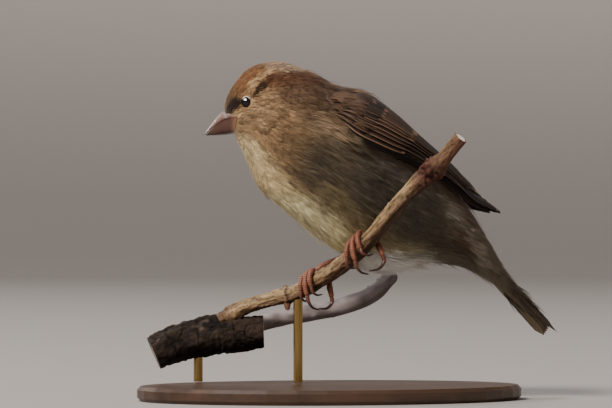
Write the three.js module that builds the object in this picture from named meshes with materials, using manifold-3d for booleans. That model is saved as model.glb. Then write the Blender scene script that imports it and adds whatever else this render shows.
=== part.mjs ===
// A female house sparrow on a cut twig, held over a flat display base. Life size, in millimetres, +Z up.
// The bird looks along -X and its left side is -Y. The origin is the centre of the base's underside.
import * as THREE from "three";
import { mergeVertices } from "three/addons/utils/BufferGeometryUtils.js";
import Module from "manifold-3d";

const wasm = await Module();
wasm.setup();

// ---------- driving dimensions ----------
const GAP = 0.3; // clearance between neighbouring pieces
const LEFT = -1; // side of the body, as the sign of Y
const RIGHT = 1;
const DEGREE = Math.PI / 180;
const HEAD_TURN = -12 * DEGREE; // the head looks a little to the bird's right
const TURN_PIVOT_X = -8; // the neck turns about the upright line through here
const TURN_FULL_AT = 4; // body station up to which the turn is whole
const TURN_GONE_AT = 7; // body station from which there is none

// Body stations from the bill's base to the end of the tail coverts:
// back line x, z; belly line x, z; half width.
const BODY_STATIONS = [
  [-36.2, 98.1, -32.4, 89.9, 4.2],
  [-35.4, 102.2, -31.7, 87.1, 6.3],
  [-33.7, 105.6, -30.7, 85.4, 8.0],
  [-27.3, 112.7, -27.8, 79.3, 10.0],
  [-17.2, 114.9, -24.8, 72.2, 11.4],
  [-11.1, 113.1, -22.0, 69.0, 13.2],
  [-4.9, 110.7, -18.0, 65.8, 15.8],
  [1.7, 107.1, -12.1, 60.7, 18.4],
  [13.9, 103.0, 3.3, 49.8, 20.6],
  [26.3, 92.4, 15.9, 44.6, 18.8],
  [38.1, 78.3, 31.2, 46.4, 13.8],
  [48.9, 63.7, 46.4, 44.7, 9.6],
  [55.4, 53.2, 52.3, 41.9, 7.6],
  [60.7, 44.2, 57.5, 38.8, 6.3],
  [63.7, 40.3, 60.3, 36.8, 5.5],
];
const LAST_STATION = BODY_STATIONS.length - 1;
const HEAD_ENDS = 4.6; // stations where the body is parted
const NECK_ENDS = 6.4;
const TRUNK_ENDS = 10.2;
const CUT = 0.06; // width of a parting cut, in stations
const FLANK_FULLNESS = 0.08; // how much wider the upper half of the body is than the lower half

const BILL_TIP = [-42.9, 89.7]; // x, z of the upper mandible's tip
const BILL_SHUT_AT = 0.36; // share of the bill's base that is upper mandible
const BILL_TAPER = 0.92; // power of the taper of its half width
const BILL_TIP_HALF = 0.3; // half width at the tip
const LOWER_REACH = 0.95; // length of the lower mandible as a share of the upper one's
const EDGE_BOW = 0.5; // how far the shut edges bow upwards
const BOW_STRETCH = 1.06; // the bow ends a little before the tip
const CREST_SWELL = 0.2; // fullness of the crest away from the shut edge
const EDGE_LIFT = 0.02; // share of the height at which the cutting edge lies
const CULMEN_ARCH = 0.7;
const GONYS_ARCH = 0.1;

const EYE_CENTRE = [-28.3, 7.3, 100.7]; // y is the distance from the mid plane, before the head turns
const EYE_RADIUS = 2.2;

// Wing stations from the shoulder to the tip: lower edge x, y, z; upper edge x, y, z; camber; thickness.
// y is the distance from the mid plane.
const WING_STATIONS = [
  [-0.8, 17.0, 95.6, 1.6, 9.0, 104.1, 1.6, 2.0],
  [2.5, 20.8, 89.5, 8.3, 6.5, 103.9, 3.2, 2.4],
  [11.4, 21.4, 84.2, 17.9, 5.4, 99.5, 3.8, 2.4],
  [23.6, 19.4, 79.3, 28.7, 5.0, 89.6, 3.2, 2.2],
  [37.2, 14.0, 72.9, 40.5, 5.0, 79.5, 2.0, 1.9],
  [47.9, 9.6, 65.6, 50.5, 5.0, 70.8, 1.0, 1.5],
  [58.0, 8.2, 63.1, 58.1, 7.2, 64.4, 0.2, 0.8],
];
const WING_CUT = 0.007; // shares of the wing's length
const WING_PARTS = [
  { name: "coverts", from: 0, to: 0.42, rings: 6 },
  { name: "secondaries", from: 0.42 + WING_CUT, to: 0.8, rings: 6 },
  { name: "primaries", from: 0.8 + WING_CUT, to: 1, rings: 4 },
];

const TAIL_ROOT = [62.4, 38.2]; // x, z of the folded tail where the coverts end
const TAIL_TIP = [77.8, 22.8];
const TAIL_ROLL = 11 * DEGREE; // the tail leans down on the bird's right
const TAIL_HALF_WIDTH = [4.8, 7.8];
const TAIL_THICKNESS = [3.2, 1.2];
const TAIL_ARCH = 1.3; // how much higher the middle feathers lie than the outer ones
const TAIL_NOTCH = 1.6; // how far the middle of the tip is cut back

// The twig, from the cut upper end down to where it leaves the branch: x, y, z, radius.
const TWIG_POINTS = [
  [35.2, -42.2, 88.4, 2.3],
  [30.3, -38.1, 81.4, 2.4],
  [21.1, -31.1, 71.2, 2.45],
  [14.3, -24.1, 62.0, 2.6],
  [7.9, -15.0, 52.0, 2.75],
  [2.9, -4.2, 45.6, 2.8],
  [-2.2, 6.1, 40.7, 2.75],
  [-7.9, 15.0, 36.3, 2.65],
  [-16.7, 22.5, 33.4, 2.5],
  [-25.5, 26.9, 30.3, 2.6],
  [-31.5, 29.4, 26.0, 3.0],
];
// Swellings of the twig: place as a share of its length, height, width.
const TWIG_KNOTS = [
  [0.13, 1.3, 0.022],
  [0.175, 0.8, 0.02],
  [0.735, 0.4, 0.01],
  [0.93, 0.5, 0.03],
];
// Side stubs: place as a share of the twig's length, degrees round it, height and radius in mm.
const STUBS = [
  { share: 0.745, degrees: -20, height: 1.4, radius: 1.2 },
  { share: 0.74, degrees: 165, height: 2.4, radius: 1.5 },
];
const STUB_TAPER = 0.3;
const BRANCH_POINTS = [
  [-17.4, 27.2, 22.0, 5.6],
  [-26.4, 29.1, 21.7, 6.1],
  [-35.7, 31.1, 21.2, 6.9],
  [-45.1, 32.6, 19.3, 6.7],
  [-54.6, 33.6, 15.0, 6.3],
];
// The grey side twig that leaves the branch behind the bird.
const FORK_POINTS = [
  [-25.5, 32.0, 23.0, 2.8],
  [-13.2, 35.5, 26.3, 2.9],
  [-2.7, 36.3, 28.1, 3.0],
  [11.9, 36.3, 30.7, 3.0],
  [23.2, 36.0, 35.3, 2.9],
  [31.0, 35.8, 42.4, 2.4],
];

const BASE_RADIUS = [66, 44];
const BASE_THICKNESS = 5;
const BASE_BEVEL = 1.2;
const ROD_RADIUS = 1.6;
const TWIG_ROD_AT = 0.7; // share of the twig's length over the thin rod
const BRANCH_ROD_AT = 0.6;

// Each foot grips the twig where the twig's centre line has this x. The shank runs from the ankle to a pad
// on the twig, and the feathered thigh from the hip to the ankle.
const FEET = {
  left: { gripX: 7.9, hip: [23, -15.5, 70], ankle: [17.5, -10.5, 62.5] },
  right: { gripX: -3.4, hip: [23.5, 13, 57.5], ankle: [10.6, 8.6, 49.9] },
};
const TOE_RADIUS = 0.85;
const CLAW_RADIUS = [0.55, 0.25];
const TARSUS_RADIUS = 1.0;
const PAD = [-24, 1.0]; // degrees round the twig and mm along it
const THIGH_RADIUS = 6.2;
const THIGH_FULL_AT = 0.42; // share of the thigh's length where it is fullest
const THIGH_REACH = 0.62; // share of its length from there to where it would close
// Digits, by their stations on the twig: degrees round it from its top over its near side, mm along it
// towards its cut end, and mm off its bark. The claw carries on from the toe's last station.
const DIGITS = [
  {
    names: { left: "hind", right: "hind" },
    size: 1.05,
    toe: [[-64, 0.8, 0], [-100, 2.2, 0.1], [-134, 2.9, 0.5], [-152, 2.3, 3.4]],
    claw: [[-158, 1.8, 4.8], [-172, 0.8, 5.8], [-190, -0.3, 5.6]],
  },
  {
    names: { left: "inner", right: "outer" },
    size: 0.92,
    toe: [[20, -1.3, 0], [50, -2.2, 0.1], [84, -3.2, 0.1], [112, -4.1, 0.3]],
    claw: [[128, -4.6, 1.4], [146, -4.7, 1.8], [168, -4.4, 1.3]],
  },
  {
    names: { left: "middle", right: "middle" },
    size: 1.0,
    toe: [[14, 0.9, 0], [50, 0.6, 0.1], [96, -0.4, 0.2], [138, -1.5, 1.9]],
    claw: [[150, -1.9, 3.4], [164, -2.1, 4.7], [181, -2.0, 5.3]],
  },
  {
    names: { left: "outer", right: "inner" },
    size: 0.9,
    toe: [[20, 3.1, 0], [52, 2.9, 0.1], [90, 2.2, 0.1], [122, 1.6, 0.3]],
    claw: [[138, 1.5, 1.4], [156, 1.8, 1.8], [178, 2.2, 1.3]],
  },
];

// ---------- materials ----------
const finish = (color, roughness, metalness = 0) =>
  new THREE.MeshStandardMaterial({ color, roughness, metalness });
const PLUMAGE_HEAD = finish(0x8f6f4c, 0.9);
const PLUMAGE_BODY = finish(0x8a7d68, 0.9);
const PLUMAGE_RUMP = finish(0x7a6d5c, 0.9);
const WING_COVERT = finish(0x5e4534, 0.8);
const FLIGHT_FEATHER = finish(0x332a25, 0.7);
const HORN = finish(0x8a7068, 0.45);
const EYE_GLOSS = finish(0x0b0807, 0.05);
const LEG_SKIN = finish(0x8c4c3c, 0.55);
const CLAW_HORN = finish(0x3a2622, 0.4);
const TWIG_BARK = finish(0x9c7c58, 0.85);
const FORK_BARK = finish(0x82777a, 0.85);
const BRANCH_BARK = finish(0x40332b, 0.95);
const BASE_WOOD = finish(0x3b2a20, 0.5);
const ROD_METAL = finish(0xa08a5a, 0.35, 1);

// ---------- solids ----------
const solidOf = (geometry) => {
  const bare = geometry.clone();
  bare.deleteAttribute("normal");
  bare.deleteAttribute("uv");
  const merged = mergeVertices(bare, 1e-4);
  return new wasm.Manifold(
    new wasm.Mesh({
      numProp: 3,
      vertProperties: new Float32Array(merged.attributes.position.array),
      triVerts: new Uint32Array(merged.index.array),
    }),
  );
};

const geometryOf = (solid) => {
  const mesh = solid.getMesh();
  const geometry = new THREE.BufferGeometry();
  geometry.setAttribute("position", new THREE.BufferAttribute(mesh.vertProperties, 3));
  geometry.setIndex(new THREE.BufferAttribute(mesh.triVerts, 1));
  geometry.computeVertexNormals();
  return geometry;
};

// The largest of the bodies that a cut leaves.
const mainBody = (solid) =>
  solid.decompose().sort((a, b) => b.volume() - a.volume())[0];

// A closed tube: place(along, angle, out) gives the point at a share of its length, an angle round it,
// and a share of its radius, which is 1 on the wall and 0 at the middle of an end.
const tube = (around, along, place) => {
  const geometry = new THREE.CylinderGeometry(1, 1, 1, around, along);
  const at = geometry.attributes.position;
  for (let i = 0; i < at.count; i++) {
    const out = Math.hypot(at.getX(i), at.getZ(i));
    const angle = out > 0.5 ? Math.atan2(at.getX(i), at.getZ(i)) : 0;
    const point = place(0.5 - at.getY(i), angle, Math.round(out));
    at.setXYZ(i, point.x, point.y, point.z);
  }
  const solid = solidOf(geometry);
  if (solid.volume() > 0) return solid;
  geometry.index.array.reverse();
  return solidOf(geometry);
};

const spline = (points) =>
  new THREE.CatmullRomCurve3(points.map((p) => new THREE.Vector3(...p)));

const vector = (x, y, z) => new THREE.Vector3(x, y, z);

// ---------- body ----------
const backLine = spline(BODY_STATIONS.map(([x, z]) => [x, 0, z]));
const bellyLine = spline(BODY_STATIONS.map(([, , x, z]) => [x, 0, z]));
const widthLine = spline(BODY_STATIONS.map((s, i) => [i, s[4], 0]));

// Turns a point of the head or neck about the upright pivot line.
const turned = (point, station) => {
  const share = THREE.MathUtils.smoothstep(TURN_GONE_AT - station, 0, TURN_GONE_AT - TURN_FULL_AT);
  const pivot = vector(TURN_PIVOT_X, 0, 0);
  return point.sub(pivot).applyAxisAngle(vector(0, 0, 1), HEAD_TURN * share).add(pivot);
};

const bodyPoint = (station, angle, out) => {
  const t = station / LAST_STATION;
  const back = backLine.getPoint(t);
  const belly = bellyLine.getPoint(t);
  const centre = back.clone().add(belly).multiplyScalar(0.5);
  const half = back.clone().sub(belly).multiplyScalar(0.5);
  const width = widthLine.getPoint(t).y;
  const up = Math.cos(angle) * out;
  const side = Math.sin(angle) * out * (1 + FLANK_FULLNESS * Math.cos(angle));
  const point = centre.addScaledVector(half, up).add(vector(0, width * side, 0));
  return turned(point, station);
};

const bodyLength = (from, to, along) =>
  tube(22, along, (t, angle, out) => bodyPoint(from + (to - from) * t, angle, out));

// ---------- head ----------
const onHead = ([x, y, z], side) => turned(vector(x, y * side, z), 0);

const eyeball = (side, grow = 0) => {
  const ball = new THREE.SphereGeometry(EYE_RADIUS + grow, 12, 8);
  const centre = onHead(EYE_CENTRE, side);
  return solidOf(ball.translate(centre.x, centre.y, centre.z));
};

// One mandible, as an arch over the closed bill's cutting edge. Up is 1 for the upper one and -1 for
// the lower.
const mandible = (up) => {
  const [backX, backZ, bellyX, bellyZ, halfWidth] = BODY_STATIONS[0];
  const outer = up > 0 ? vector(backX, 0, backZ) : vector(bellyX, 0, bellyZ);
  const edge = vector(backX, 0, backZ).lerp(vector(bellyX, 0, bellyZ), BILL_SHUT_AT);
  const tip = vector(BILL_TIP[0], 0, BILL_TIP[1] + (up > 0 ? 0 : CREST_SWELL));
  const forward = vector(BILL_TIP[0], 0, BILL_TIP[1]).sub(edge).normalize();
  const upward = vector(forward.z, 0, -forward.x);
  const arch = up > 0 ? CULMEN_ARCH : GONYS_ARCH;
  const reach = up > 0 ? 1 : LOWER_REACH;
  return tube(12, 9, (t, angle, out) => {
    const taper = 1 - t * reach;
    const bow = Math.sin(Math.PI * Math.min(t * BOW_STRETCH, 1));
    const shut = edge.clone().lerp(tip, t * reach).addScaledVector(upward, EDGE_BOW * bow);
    const crest = outer.clone().lerp(tip, t * reach).addScaledVector(upward, up * arch * bow);
    const rise = crest.sub(shut);
    const width = Math.max(halfWidth * taper ** BILL_TAPER, BILL_TIP_HALF);
    const lift = Math.max(Math.cos(angle), 0) * out;
    const point = shut.addScaledVector(rise, THREE.MathUtils.lerp(EDGE_LIFT, 1, lift));
    point.addScaledVector(upward, (up * GAP) / 2 + up * CREST_SWELL * lift);
    point.addScaledVector(forward, GAP);
    return turned(point.add(vector(0, width * Math.sin(angle) * out, 0)), 0);
  });
};

// ---------- wings ----------
const wingLower = spline(WING_STATIONS.map(([x, y, z]) => [x, y, z]));
const wingUpper = spline(WING_STATIONS.map(([, , , x, y, z]) => [x, y, z]));
const wingForm = spline(WING_STATIONS.map((s, i) => [i, s[6], s[7]]));

const wingPoint = (side, share, angle, out, grow) => {
  const lower = wingLower.getPoint(share);
  const upper = wingUpper.getPoint(share);
  const across = upper.clone().sub(lower);
  const along = wingLower.getTangent(share).add(wingUpper.getTangent(share)).normalize();
  const outward = across.clone().cross(along).normalize();
  if (outward.y < 0) outward.negate();
  const form = wingForm.getPoint(share);
  const v = 0.5 - 0.5 * Math.cos(angle) * out;
  const widen = grow / Math.max(across.length(), 1);
  const point = lower.addScaledVector(across, v * (1 + 2 * widen) - widen);
  point.addScaledVector(outward, form.y * 4 * v * (1 - v));
  point.addScaledVector(outward, (form.z / 2 + grow) * Math.sin(angle) * out);
  return point.multiply(vector(1, side, 1));
};

const wingSolid = (side, { from, to, rings }, grow = 0) =>
  tube(16, rings, (t, angle, out) => wingPoint(side, from + (to - from) * t, angle, out, grow));

// ---------- tail ----------
const squared = (v) => Math.sign(v) * Math.abs(v) ** 0.55;

// Half of the folded tail, nearly square in section; side is the half's sign of Y.
const tailHalf = (side) => {
  const root = vector(TAIL_ROOT[0], 0, TAIL_ROOT[1]);
  const tip = vector(TAIL_TIP[0], 0, TAIL_TIP[1]);
  const down = tip.clone().sub(root).normalize();
  const above = vector(-down.z, 0, down.x);
  const across = vector(0, 1, 0).addScaledVector(above, -Math.sin(TAIL_ROLL));
  return tube(12, 7, (t, angle, out) => {
    const width = THREE.MathUtils.lerp(...TAIL_HALF_WIDTH, t);
    const thick = THREE.MathUtils.lerp(...TAIL_THICKNESS, t);
    const share = 0.5 + 0.5 * squared(Math.sin(angle)) * out;
    const rounding = 1 - 0.14 * Math.max(0, (t - 0.82) / 0.18) ** 2;
    const notch = TAIL_NOTCH * t ** 6 * (1 - share) ** 2;
    const arch = TAIL_ARCH * (1 - share * share);
    return root
      .clone()
      .lerp(tip, t)
      .addScaledVector(down, -notch)
      .addScaledVector(above, (thick / 2) * squared(Math.cos(angle)) * out + arch)
      .addScaledVector(across, side * (GAP / 2 + (width * rounding - GAP / 2) * share));
  });
};

// ---------- perch ----------
const pathOf = (points) => spline(points.map(([x, y, z]) => [x, y, z]));
const sizeOf = (points) => spline(points.map((p, i) => [i, p[3], 0]));
const twigLine = pathOf(TWIG_POINTS);
const twigSize = sizeOf(TWIG_POINTS);
const branchLine = pathOf(BRANCH_POINTS);
const branchSize = sizeOf(BRANCH_POINTS);
const forkLine = pathOf(FORK_POINTS);
const forkSize = sizeOf(FORK_POINTS);
const twigLength = twigLine.getLength();

const twigRadius = (share) =>
  TWIG_KNOTS.reduce(
    (radius, [at, height, width]) => radius + height * Math.exp(-(((share - at) / width) ** 2)),
    twigSize.getPoint(share).y,
  );

// A point at an angle round a line, from its top over its near side.
const ringPoint = (line, share, angle, radius) => {
  const along = line.getTangent(share);
  if (along.x < 0) along.negate();
  const up = vector(0, 0, 1).addScaledVector(along, -along.z).normalize();
  const near = along.clone().cross(up);
  return line
    .getPoint(share)
    .addScaledVector(up, radius * Math.cos(angle))
    .addScaledVector(near, radius * Math.sin(angle));
};

const twigSolid = (grow = 0) =>
  tube(10, 34, (t, angle, out) => {
    const lump = 1 + 0.03 * Math.sin(3 * angle + 9 * t) + 0.02 * Math.sin(5 * angle - 14 * t);
    return ringPoint(twigLine, t, angle, (twigRadius(t) * lump + grow) * out);
  });

const branchSolid = (grow = 0) =>
  tube(14, 12, (t, angle, out) => {
    const lump = 1 + 0.05 * Math.sin(2 * angle + 5 * t) + 0.04 * Math.sin(5 * angle - 11 * t);
    return ringPoint(branchLine, t, angle, (branchSize.getPoint(t).y * lump + grow) * out);
  });

const forkSolid = () =>
  tube(8, 12, (t, angle, out) => {
    const lump = 1 + 0.04 * Math.sin(3 * angle + 7 * t);
    return ringPoint(forkLine, t, angle, forkSize.getPoint(t).y * lump * out);
  });

// A point beside the twig: mm along it from the grip towards its cut end, degrees round it and mm off
// its bark.
const besideTwig = (grip, degrees, shift, off) => {
  const share = THREE.MathUtils.clamp(grip - shift / twigLength, 0, 1);
  return ringPoint(twigLine, share, degrees * DEGREE, twigRadius(share) * 1.04 + off);
};

// ---------- feet ----------
// A round limb along a path, of a radius given at each share of its length.
const limb = (path, around, along, radius) =>
  tube(around, along, (t, angle, out) => {
    const tangent = path.getTangentAt(t);
    const side = vector(0.3, 1, 0.2).cross(tangent).normalize();
    const other = tangent.clone().cross(side);
    return path
      .getPointAt(t)
      .addScaledVector(side, radius(t) * Math.cos(angle) * out)
      .addScaledVector(other, radius(t) * Math.sin(angle) * out);
  });

// A short side stub of the twig.
const stub = ({ share, degrees, height, radius }) => {
  const root = twigLine.getPoint(share);
  const path = new THREE.LineCurve3(root, besideTwig(share, degrees, 0, height));
  return limb(path, 8, 2, (t) => radius * (1 - STUB_TAPER * t));
};

// Rounds off an end: 1 beyond the given share of the length, less towards the end itself.
const rounded = (t, share) => Math.sqrt(Math.max(0.12, 1 - Math.max(0, (share - t) / share) ** 2));

// Share of the twig's length where its centre line has the given x.
const twigShareAt = (x) => {
  let [low, high] = [0, 1];
  for (let i = 0; i < 30; i++) {
    const middle = (low + high) / 2;
    if (twigLine.getPoint(middle).x > x) low = middle;
    else high = middle;
  }
  return (low + high) / 2;
};

const digitPath = (grip, digit, stations) => {
  const seat = TOE_RADIUS * digit.size + GAP;
  const points = stations.map(([degrees, shift, off]) => besideTwig(grip, degrees, shift, seat + off));
  return new THREE.CatmullRomCurve3(points);
};

const toeSolid = (grip, digit, grow = 0) =>
  limb(digitPath(grip, digit, digit.toe), 7, 9, (t) => {
    const joints = 1 + 0.09 * Math.cos(t * Math.PI * 6);
    return TOE_RADIUS * digit.size * joints * rounded(t, 0.1) * rounded(1 - t, 0.1) + grow;
  });

const clawSolid = (grip, digit, grow = 0) =>
  limb(
    digitPath(grip, digit, [digit.toe.at(-1), ...digit.claw]),
    6,
    5,
    (t) => THREE.MathUtils.lerp(...CLAW_RADIUS, t) * digit.size + grow,
  );

// The shank, from the ankle down to the pad on top of the twig.
const tarsusSolid = (grip, { ankle }, grow = 0) => {
  const [degrees, shift] = PAD;
  const pad = besideTwig(grip, degrees, shift, TARSUS_RADIUS + GAP);
  const over = besideTwig(grip, degrees - 4, shift + 1.2, TARSUS_RADIUS + GAP + 1.2);
  const start = vector(...ankle);
  const path = new THREE.CatmullRomCurve3([start, over.clone().lerp(start, 0.5), over, pad]);
  return limb(path, 7, 8, (t) => TARSUS_RADIUS * (1 + 0.15 * t ** 4) * rounded(1 - t, 0.15) + grow);
};

// The feathered thigh, from the hip to a little past the ankle.
const thighSolid = ({ hip, ankle }, grow = 0) => {
  const path = new THREE.LineCurve3(vector(...hip), vector(...ankle).lerp(vector(...hip), -0.25));
  return limb(path, 12, 6, (t) => {
    const off = (t - THIGH_FULL_AT) / THIGH_REACH;
    return THIGH_RADIUS * Math.sqrt(Math.max(0.1, 1 - off ** 2)) + grow;
  });
};

// ---------- stand ----------
const baseGeometry = () => {
  const inner = 1 - BASE_BEVEL / BASE_RADIUS[0];
  const profile = [
    new THREE.Vector2(0, 0),
    new THREE.Vector2(inner, 0),
    new THREE.Vector2(1, BASE_BEVEL),
    new THREE.Vector2(1, BASE_THICKNESS - BASE_BEVEL),
    new THREE.Vector2(inner, BASE_THICKNESS),
    new THREE.Vector2(0, BASE_THICKNESS),
  ];
  const lathe = new THREE.LatheGeometry(profile, 40).rotateX(Math.PI / 2);
  return lathe.scale(BASE_RADIUS[0], BASE_RADIUS[1], 1);
};

const rodGeometry = (line, share) => {
  const top = line.getPoint(share);
  const height = top.z - BASE_THICKNESS - GAP;
  const rod = new THREE.CylinderGeometry(ROD_RADIUS, ROD_RADIUS, height, 12).rotateX(Math.PI / 2);
  return rod.translate(top.x, top.y, BASE_THICKNESS + GAP + height / 2);
};

// ---------- scene graph ----------
const object = new THREE.Group();
const bird = new THREE.Group();
const perch = new THREE.Group();
const stand = new THREE.Group();
object.add(bird, perch, stand);

const place = (group, name, geometry, material) => {
  const mesh = new THREE.Mesh(geometry, material);
  mesh.name = name;
  group.add(mesh);
};
const placeSolid = (group, name, solid, material) =>
  place(group, name, geometryOf(mainBody(solid)), material);
const clearOf = (solid, cutters) => cutters.reduce((rest, cutter) => rest.subtract(cutter), solid);

const SIDES = { left: LEFT, right: RIGHT };
const grips = { left: twigShareAt(FEET.left.gripX), right: twigShareAt(FEET.right.gripX) };
const wingPockets = Object.values(SIDES).flatMap((side) =>
  WING_PARTS.map((part) => wingSolid(side, part, GAP)),
);
const thighPockets = Object.values(FEET).map((foot) => thighSolid(foot, GAP));
const twigPocket = twigSolid(GAP);
const shankPockets = Object.entries(FEET).map(([name, foot]) => tarsusSolid(grips[name], foot, GAP));
const digitPockets = Object.values(grips).flatMap((grip) =>
  DIGITS.flatMap((digit) => [toeSolid(grip, digit, GAP), clawSolid(grip, digit, GAP)]),
);
const legPockets = [twigPocket, ...shankPockets, ...digitPockets];

const head = clearOf(bodyLength(0, HEAD_ENDS, 11), [eyeball(LEFT, GAP), eyeball(RIGHT, GAP)]);
placeSolid(bird, "head", head, PLUMAGE_HEAD);
const neck = clearOf(bodyLength(HEAD_ENDS + CUT, NECK_ENDS, 4), wingPockets);
placeSolid(bird, "neck", neck, PLUMAGE_HEAD);
const trunkPockets = [...wingPockets, ...thighPockets, ...legPockets];
const trunk = clearOf(bodyLength(NECK_ENDS + CUT, TRUNK_ENDS, 9), trunkPockets);
placeSolid(bird, "trunk", trunk, PLUMAGE_BODY);
const rump = clearOf(bodyLength(TRUNK_ENDS + CUT, LAST_STATION, 7), wingPockets);
placeSolid(bird, "rump", rump, PLUMAGE_RUMP);

placeSolid(bird, "bill_upper", mandible(1), HORN);
placeSolid(bird, "bill_lower", mandible(-1), HORN);
for (const [name, side] of Object.entries(SIDES)) {
  placeSolid(bird, `eye_${name}`, eyeball(side), EYE_GLOSS);
  for (const part of WING_PARTS) {
    const material = part.name === "primaries" ? FLIGHT_FEATHER : WING_COVERT;
    placeSolid(bird, `wing_${name}_${part.name}`, wingSolid(side, part), material);
  }
  placeSolid(bird, `tail_${name}`, tailHalf(side), FLIGHT_FEATHER);
}

for (const [name, foot] of Object.entries(FEET)) {
  const grip = grips[name];
  const thigh = clearOf(thighSolid(foot), [...legPockets, ...wingPockets]);
  placeSolid(bird, `thigh_${name}`, thigh, PLUMAGE_BODY);
  placeSolid(bird, `tarsus_${name}`, tarsusSolid(grip, foot), LEG_SKIN);
  for (const digit of DIGITS) {
    placeSolid(bird, `toe_${name}_${digit.names[name]}`, toeSolid(grip, digit), LEG_SKIN);
    const claw = clawSolid(grip, digit).subtract(toeSolid(grip, digit, GAP));
    placeSolid(bird, `claw_${name}_${digit.names[name]}`, claw, CLAW_HORN);
  }
}

const branchPocket = branchSolid(GAP);
const twig = STUBS.reduce((whole, at) => whole.add(stub(at)), twigSolid()).subtract(branchPocket);
placeSolid(perch, "perch_twig", twig, TWIG_BARK);
placeSolid(perch, "perch_branch", branchSolid(), BRANCH_BARK);
placeSolid(perch, "perch_fork", forkSolid().subtract(branchPocket), FORK_BARK);

place(stand, "stand_base", baseGeometry(), BASE_WOOD);
const twigRod = solidOf(rodGeometry(twigLine, TWIG_ROD_AT)).subtract(twigPocket);
placeSolid(stand, "stand_rod_twig", twigRod, ROD_METAL);
const branchRod = solidOf(rodGeometry(branchLine, BRANCH_ROD_AT)).subtract(branchPocket);
placeSolid(stand, "stand_rod_branch", branchRod, ROD_METAL);

export default object;
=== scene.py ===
# %% [markdown]
# A female house sparrow on a cut twig, over a flat display base. The imported CAD model is the frame
# that every piece is fitted to. It is loaded first.

# %% Load the frame
import math

import bmesh
import bpy
import numpy as np
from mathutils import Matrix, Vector
from mathutils.bvhtree import BVHTree
from mathutils.kdtree import KDTree


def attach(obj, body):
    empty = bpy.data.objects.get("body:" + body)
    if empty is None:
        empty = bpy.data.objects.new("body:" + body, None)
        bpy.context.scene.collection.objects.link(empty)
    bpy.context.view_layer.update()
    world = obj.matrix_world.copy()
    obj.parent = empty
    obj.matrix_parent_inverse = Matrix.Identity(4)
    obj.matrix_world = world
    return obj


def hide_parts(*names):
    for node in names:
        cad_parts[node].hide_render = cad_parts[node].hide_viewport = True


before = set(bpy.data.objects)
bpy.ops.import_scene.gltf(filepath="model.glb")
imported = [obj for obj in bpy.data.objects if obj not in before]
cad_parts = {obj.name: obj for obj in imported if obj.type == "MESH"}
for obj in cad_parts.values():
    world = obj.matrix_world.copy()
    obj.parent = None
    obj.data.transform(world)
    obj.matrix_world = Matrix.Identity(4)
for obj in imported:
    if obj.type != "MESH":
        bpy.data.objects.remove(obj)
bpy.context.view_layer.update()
print("CAD nodes:", len(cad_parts))

MM = 0.001
SIDES = {"left": -1, "right": 1}
chance = np.random.default_rng(20)

# %% [markdown]
# The camera comes before the pieces, because the distance and the lens settle how flat the bird
# looks. A long lens from a metre and a half away flattens it as a bird lens does. The bird looks
# along -X, and the camera stands 12 degrees round from its left side, level with its breast.

# %% Camera
VIEW_TURN = math.radians(12)
CAMERA_DISTANCE = 1.5
FRAME_WIDTH = 0.20746  # width of what the picture shows at the bird
SENSOR = 36.0

camera_data = bpy.data.cameras.new("camera")
camera_data.sensor_width = SENSOR
camera_data.lens = SENSOR * CAMERA_DISTANCE / FRAME_WIDTH
camera = bpy.data.objects.new("camera", camera_data)
camera.location = (-0.3198, -1.4655, 0.0664)
camera.rotation_euler = (math.pi / 2, 0, -VIEW_TURN)
bpy.context.scene.collection.objects.link(camera)
bpy.context.scene.camera = camera
print("lens in mm:", round(camera_data.lens, 1))

# %% [markdown]
# A finish needs a few small helpers. Colours are written as a painter's 0 to 255 values, which
# Blender wants as linear light. Nodes are added and linked by one short call each.

# %% Colour and node helpers
def ink(red, green, blue):
    """The linear colour of a 0 to 255 screen colour."""
    c = np.array([red, green, blue]) / 255
    return np.where(c <= 0.04045, c / 12.92, ((c + 0.055) / 1.055) ** 2.4)


def rgba(colour):
    return (*[float(c) for c in colour], 1.0)


def node(tree, kind, inputs=(), **settings):
    """Adds a node. inputs are (socket, value or output socket) pairs."""
    made = tree.nodes.new(kind)
    for key, value in settings.items():
        setattr(made, key, value)
    for socket, value in inputs:
        if isinstance(value, bpy.types.NodeSocket):
            tree.links.new(value, made.inputs[socket])
        else:
            made.inputs[socket].default_value = value
    return made


def math_node(tree, operation, a, b=0.0, c=0.0):
    return node(tree, "ShaderNodeMath", [(0, a), (1, b), (2, c)], operation=operation).outputs[0]


def smooth_range(tree, value, low, high, to_low=0.0, to_high=1.0):
    ends = [("From Min", low), ("From Max", high), ("To Min", to_low), ("To Max", to_high)]
    made = node(tree, "ShaderNodeMapRange", [("Value", value), *ends], interpolation_type="SMOOTHSTEP")
    return made.outputs["Result"]


def mix_colour(tree, share, a, b):
    sockets = [(0, share), (6, a), (7, b)]  # a Mix node's colour sockets come after its other kinds
    return node(tree, "ShaderNodeMix", sockets, data_type="RGBA").outputs[2]


def new_finish(name, roughness, **sockets):
    """A material with its Principled shader. Constants go on the shader's own sockets."""
    made = bpy.data.materials.new(name)
    made.use_nodes = True
    shader = made.node_tree.nodes["Principled BSDF"]
    shader.inputs["Roughness"].default_value = roughness
    for key, value in sockets.items():
        shader.inputs[key.replace("_", " ")].default_value = value
    return made, made.node_tree, shader


def new_group(name, inputs, outputs):
    """A shader node group with named sockets: (name, kind, default) going in, (name, kind) going out."""
    tree = bpy.data.node_groups.new(name, "ShaderNodeTree")
    for label, kind, default in inputs:
        socket = tree.interface.new_socket(label, in_out="INPUT", socket_type=kind)
        if default is not None:
            socket.default_value = default
    for label, kind in outputs:
        tree.interface.new_socket(label, in_out="OUTPUT", socket_type=kind)
    return tree, tree.nodes.new("NodeGroupInput"), tree.nodes.new("NodeGroupOutput")


def own_colour(tree, name="Tint"):
    """The colour that a piece carries at each of its points."""
    return node(tree, "ShaderNodeAttribute", attribute_name=name).outputs["Color"]


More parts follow.
